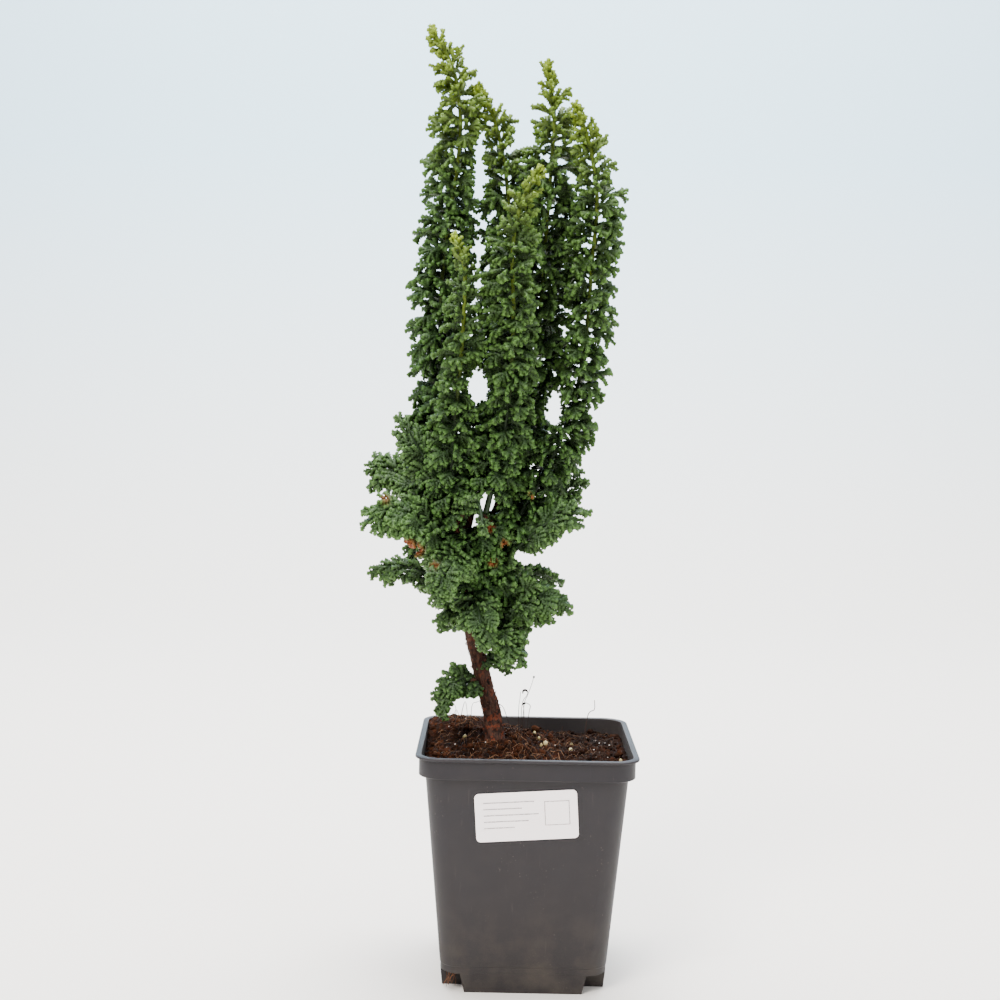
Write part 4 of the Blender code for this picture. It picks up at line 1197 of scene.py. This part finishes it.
def soil_finish(dust, name, dark, light):
    """Damp peat and compost."""
    finish = Finish(name, Specular_IOR_Level=0.06)
    fine = finish.noise(1100, 5)
    grain = finish.spread(finish.math("ADD", fine, finish.times(finish.attribute("tone"), 0.7)), 0.4, 1.1)
    colour = finish.mix(grain, dark, light)
    reddish = finish.spread(finish.noise(260, 3), 0.5, 0.7, 0.0, 0.7)
    colour = finish.mix(reddish, colour, (0.075, 0.020, 0.0075))
    pools = finish.spread(finish.noise(55, 3), 0.45, 0.65, 0.0, 0.6)
    # The ground is painted darker towards the right and in patches.
    right = finish.spread(finish.split(finish.place())[0], -5 * MM, 32 * MM, 0.0, 0.65)
    colour = finish.mix(finish.times(finish.math("ADD", right, pools), 0.8), colour, dark)
    dusty = finish.group(dust, Colour=colour, Roughness=0.9, Dust_Colour=(0.12, 0.052, 0.026), Amount=0.14,
                         Patch_Scale=160.0)
    crumbs = finish.math("ADD", finish.cells(700), fine)
    return finish.done(dusty["Colour"], dusty["Roughness"], crumbs, 0.5 * MM)


def bark_finish(dust):
    """Reddish-brown bark in long strips, orange where a strip has just come away."""
    finish = Finish("bark", Specular_IOR_Level=0.3)
    strips = finish.noise(1, 5, finish.stretched((900, 900, 260)), 0.4)
    plates = finish.noise(1, 4, finish.stretched((650, 650, 330)))
    colour = finish.mix(finish.spread(strips, 0.35, 0.65), (0.008, 0.0033, 0.0023), (0.068, 0.024, 0.013))
    pale = finish.times(finish.spread(plates, 0.5, 0.7), finish.attribute("tone"))
    colour = finish.mix(finish.times(pale, 0.8), colour, (0.155, 0.072, 0.042))
    low = finish.spread(finish.split(finish.place())[2], 150 * MM, 118 * MM, 0.35, 1.0)
    torn = finish.times(low, finish.spread(finish.noise(430, 6), 0.54, 0.60))
    colour = finish.mix(finish.times(torn, 0.85), colour, (0.20, 0.042, 0.015))
    dusty = finish.group(dust, Colour=colour, Roughness=0.8, Dust_Colour=(0.13, 0.075, 0.05), Amount=0.1,
                         Patch_Scale=210.0)
    return finish.done(dusty["Colour"], dusty["Roughness"], strips, 0.5 * MM)


def grain_finish(name, dark, light, roughness, depth):
    """Small dry things: fibres, stalks, roots, perlite and pellets, each a little different in tone."""
    finish = Finish(name, Specular_IOR_Level=0.35)
    pits = finish.noise(1600, 3)
    colour = finish.mix(finish.times(finish.attribute("tone"), finish.math("ADD", pits, 0.5)), dark, light)
    rough = finish.spread(pits, 0.3, 0.7, roughness - 0.1, roughness + 0.05)
    return finish.done(colour, rough, pits, depth)


def add_foliage(leaf):
    plume_leaf = leaf_finish("plume foliage", leaf, 0.25, (0.0017, 0.0068, 0.0024), (0.0082, 0.0275, 0.0066),
                             (0.066, 0.152, 0.028), (0.24, 0.32, 0.012))
    spray_leaf = leaf_finish("spray foliage", leaf, 0.28, (0.0014, 0.0052, 0.0019), (0.0064, 0.0205, 0.0050),
                             (0.084, 0.172, 0.040), (0.11, 0.25, 0.038))
    for shoots, grow, bushy, material, slot in (
            (PLUMES, grow_plume, 1.1, plume_leaf, "plume_foliage"),
            (SPRAYS, grow_spray, 0.6, spray_leaf, "spray_foliage")):
        kit = make_fan_kit(FAN_SEED, bushy)
        for name, spec in shoots.items():
            dress(grow(kit, name, spec).finish(f"{name}_foliage", material), name)


def add_pot_and_soil(dust):
    dress(mould_pot(pot_finish(dust)), "pot")
    dress(print_label(label_finish(dust)), "label")
    ground = soil_finish(dust, "potting soil", (0.0024, 0.0009, 0.0005), (0.056, 0.0180, 0.0068))
    dress(lay_soil(ground), "soil")
    cover_soil(
        ground, grain_finish("peat fibre", (0.009, 0.0035, 0.002), (0.26, 0.125, 0.06), 0.85, 0.1 * MM),
        grain_finish("perlite", (0.46, 0.38, 0.33), (0.86, 0.80, 0.74), 0.8, 0.15 * MM),
        grain_finish("feed pellets", (0.38, 0.29, 0.11), (0.60, 0.49, 0.24), 0.5, 0.05 * MM))


def add_camera():
    data = bpy.data.cameras.new("camera")
    data.lens = CAMERA_LENS
    data.sensor_width = 36
    data.clip_start = 0.01
    camera = bpy.data.objects.new("camera", data)
    camera.matrix_world = (Matrix.Translation(CAMERA_PLACE)
                           @ Matrix.Rotation(math.pi / 2 - CAMERA_PITCH, 4, "X")
                           @ Matrix.Rotation(CAMERA_ROLL, 4, "Z"))
    bpy.context.scene.collection.objects.link(camera)
    bpy.context.scene.camera = camera


def add_light():
    world = bpy.data.worlds.new("studio")
    world.use_nodes = True
    back = world.node_tree.nodes["Background"]
    back.inputs["Color"].default_value = (0.80, 0.88, 1.0, 1)
    back.inputs["Strength"].default_value = 0.45
    bpy.context.scene.world = world
    for name, place, aim, size, power, colour in (
            ("key", (-0.7, -1.2, 1.5), (-0.02, 0, 0.22), 0.7, 50, (1.0, 0.98, 0.95)),
            ("fill", (1.2, -0.9, 0.9), (-0.02, 0, 0.22), 1.0, 12, (0.95, 0.98, 1.0)),
            ("top", (0.0, 0.1, 1.7), (-0.02, 0, 0.22), 0.7, 32, (1.0, 1.0, 1.0)),
            ("backdrop", (0, 0.7, 2.2), (0, 2.0, 0.7), 2.0, 150, (0.96, 0.98, 1.0))):
        data = bpy.data.lights.new(name, "AREA")
        data.size = size
        data.energy = power
        data.color = colour
        light = bpy.data.objects.new(name, data)
        light.location = place
        way = Vector(aim) - Vector(place)
        light.rotation_euler = way.to_track_quat("-Z", "Y").to_euler()
        bpy.context.scene.collection.objects.link(light)


def add_floor():
    """A pale floor that curves up far behind into a pale wall."""
    arc = [(1.2 + 0.8 * math.sin(a), 0.8 - 0.8 * math.cos(a)) for a in np.linspace(0.15, math.pi / 2, 12)]
    profile = [(-3.0, 0), (1.2, 0), *arc, (2.0, 3.0)]
    count = len(profile)
    mesh = bpy.data.meshes.new("floor")
    mesh.from_pydata([(x, y, z) for x in (-3.0, 3.0) for y, z in profile], [],
                     [(i, i + count, i + count + 1, i + 1) for i in range(count - 1)])
    mesh.shade_smooth()
    finish = Finish("studio backdrop")
    height = finish.split(finish.place())[2]
    wall = finish.mix(finish.spread(height, 0.9, 1.7), (0.62, 0.86, 1.0), (0.70, 0.80, 1.0))
    colour = finish.mix(finish.spread(height, 0.0, 0.7), (0.97, 0.90, 0.82), wall)
    show("floor", mesh, finish.done(colour, 0.8, finish.noise(30, 2), 0.01 * MM))


add_camera()
add_light()
add_floor()
dust = dust_effect()
bark = bark_finish(dust)
add_pot_and_soil(dust)
grow_wood(bark)
add_foliage(leaf_effect())
add_stalks(grain_finish("dry stalk", (0.012, 0.007, 0.006), (0.10, 0.045, 0.025), 0.7, 0.05 * MM))
add_roots(grain_finish("fine root", (0.05, 0.018, 0.008), (0.17, 0.068, 0.026), 0.8, 0.05 * MM))
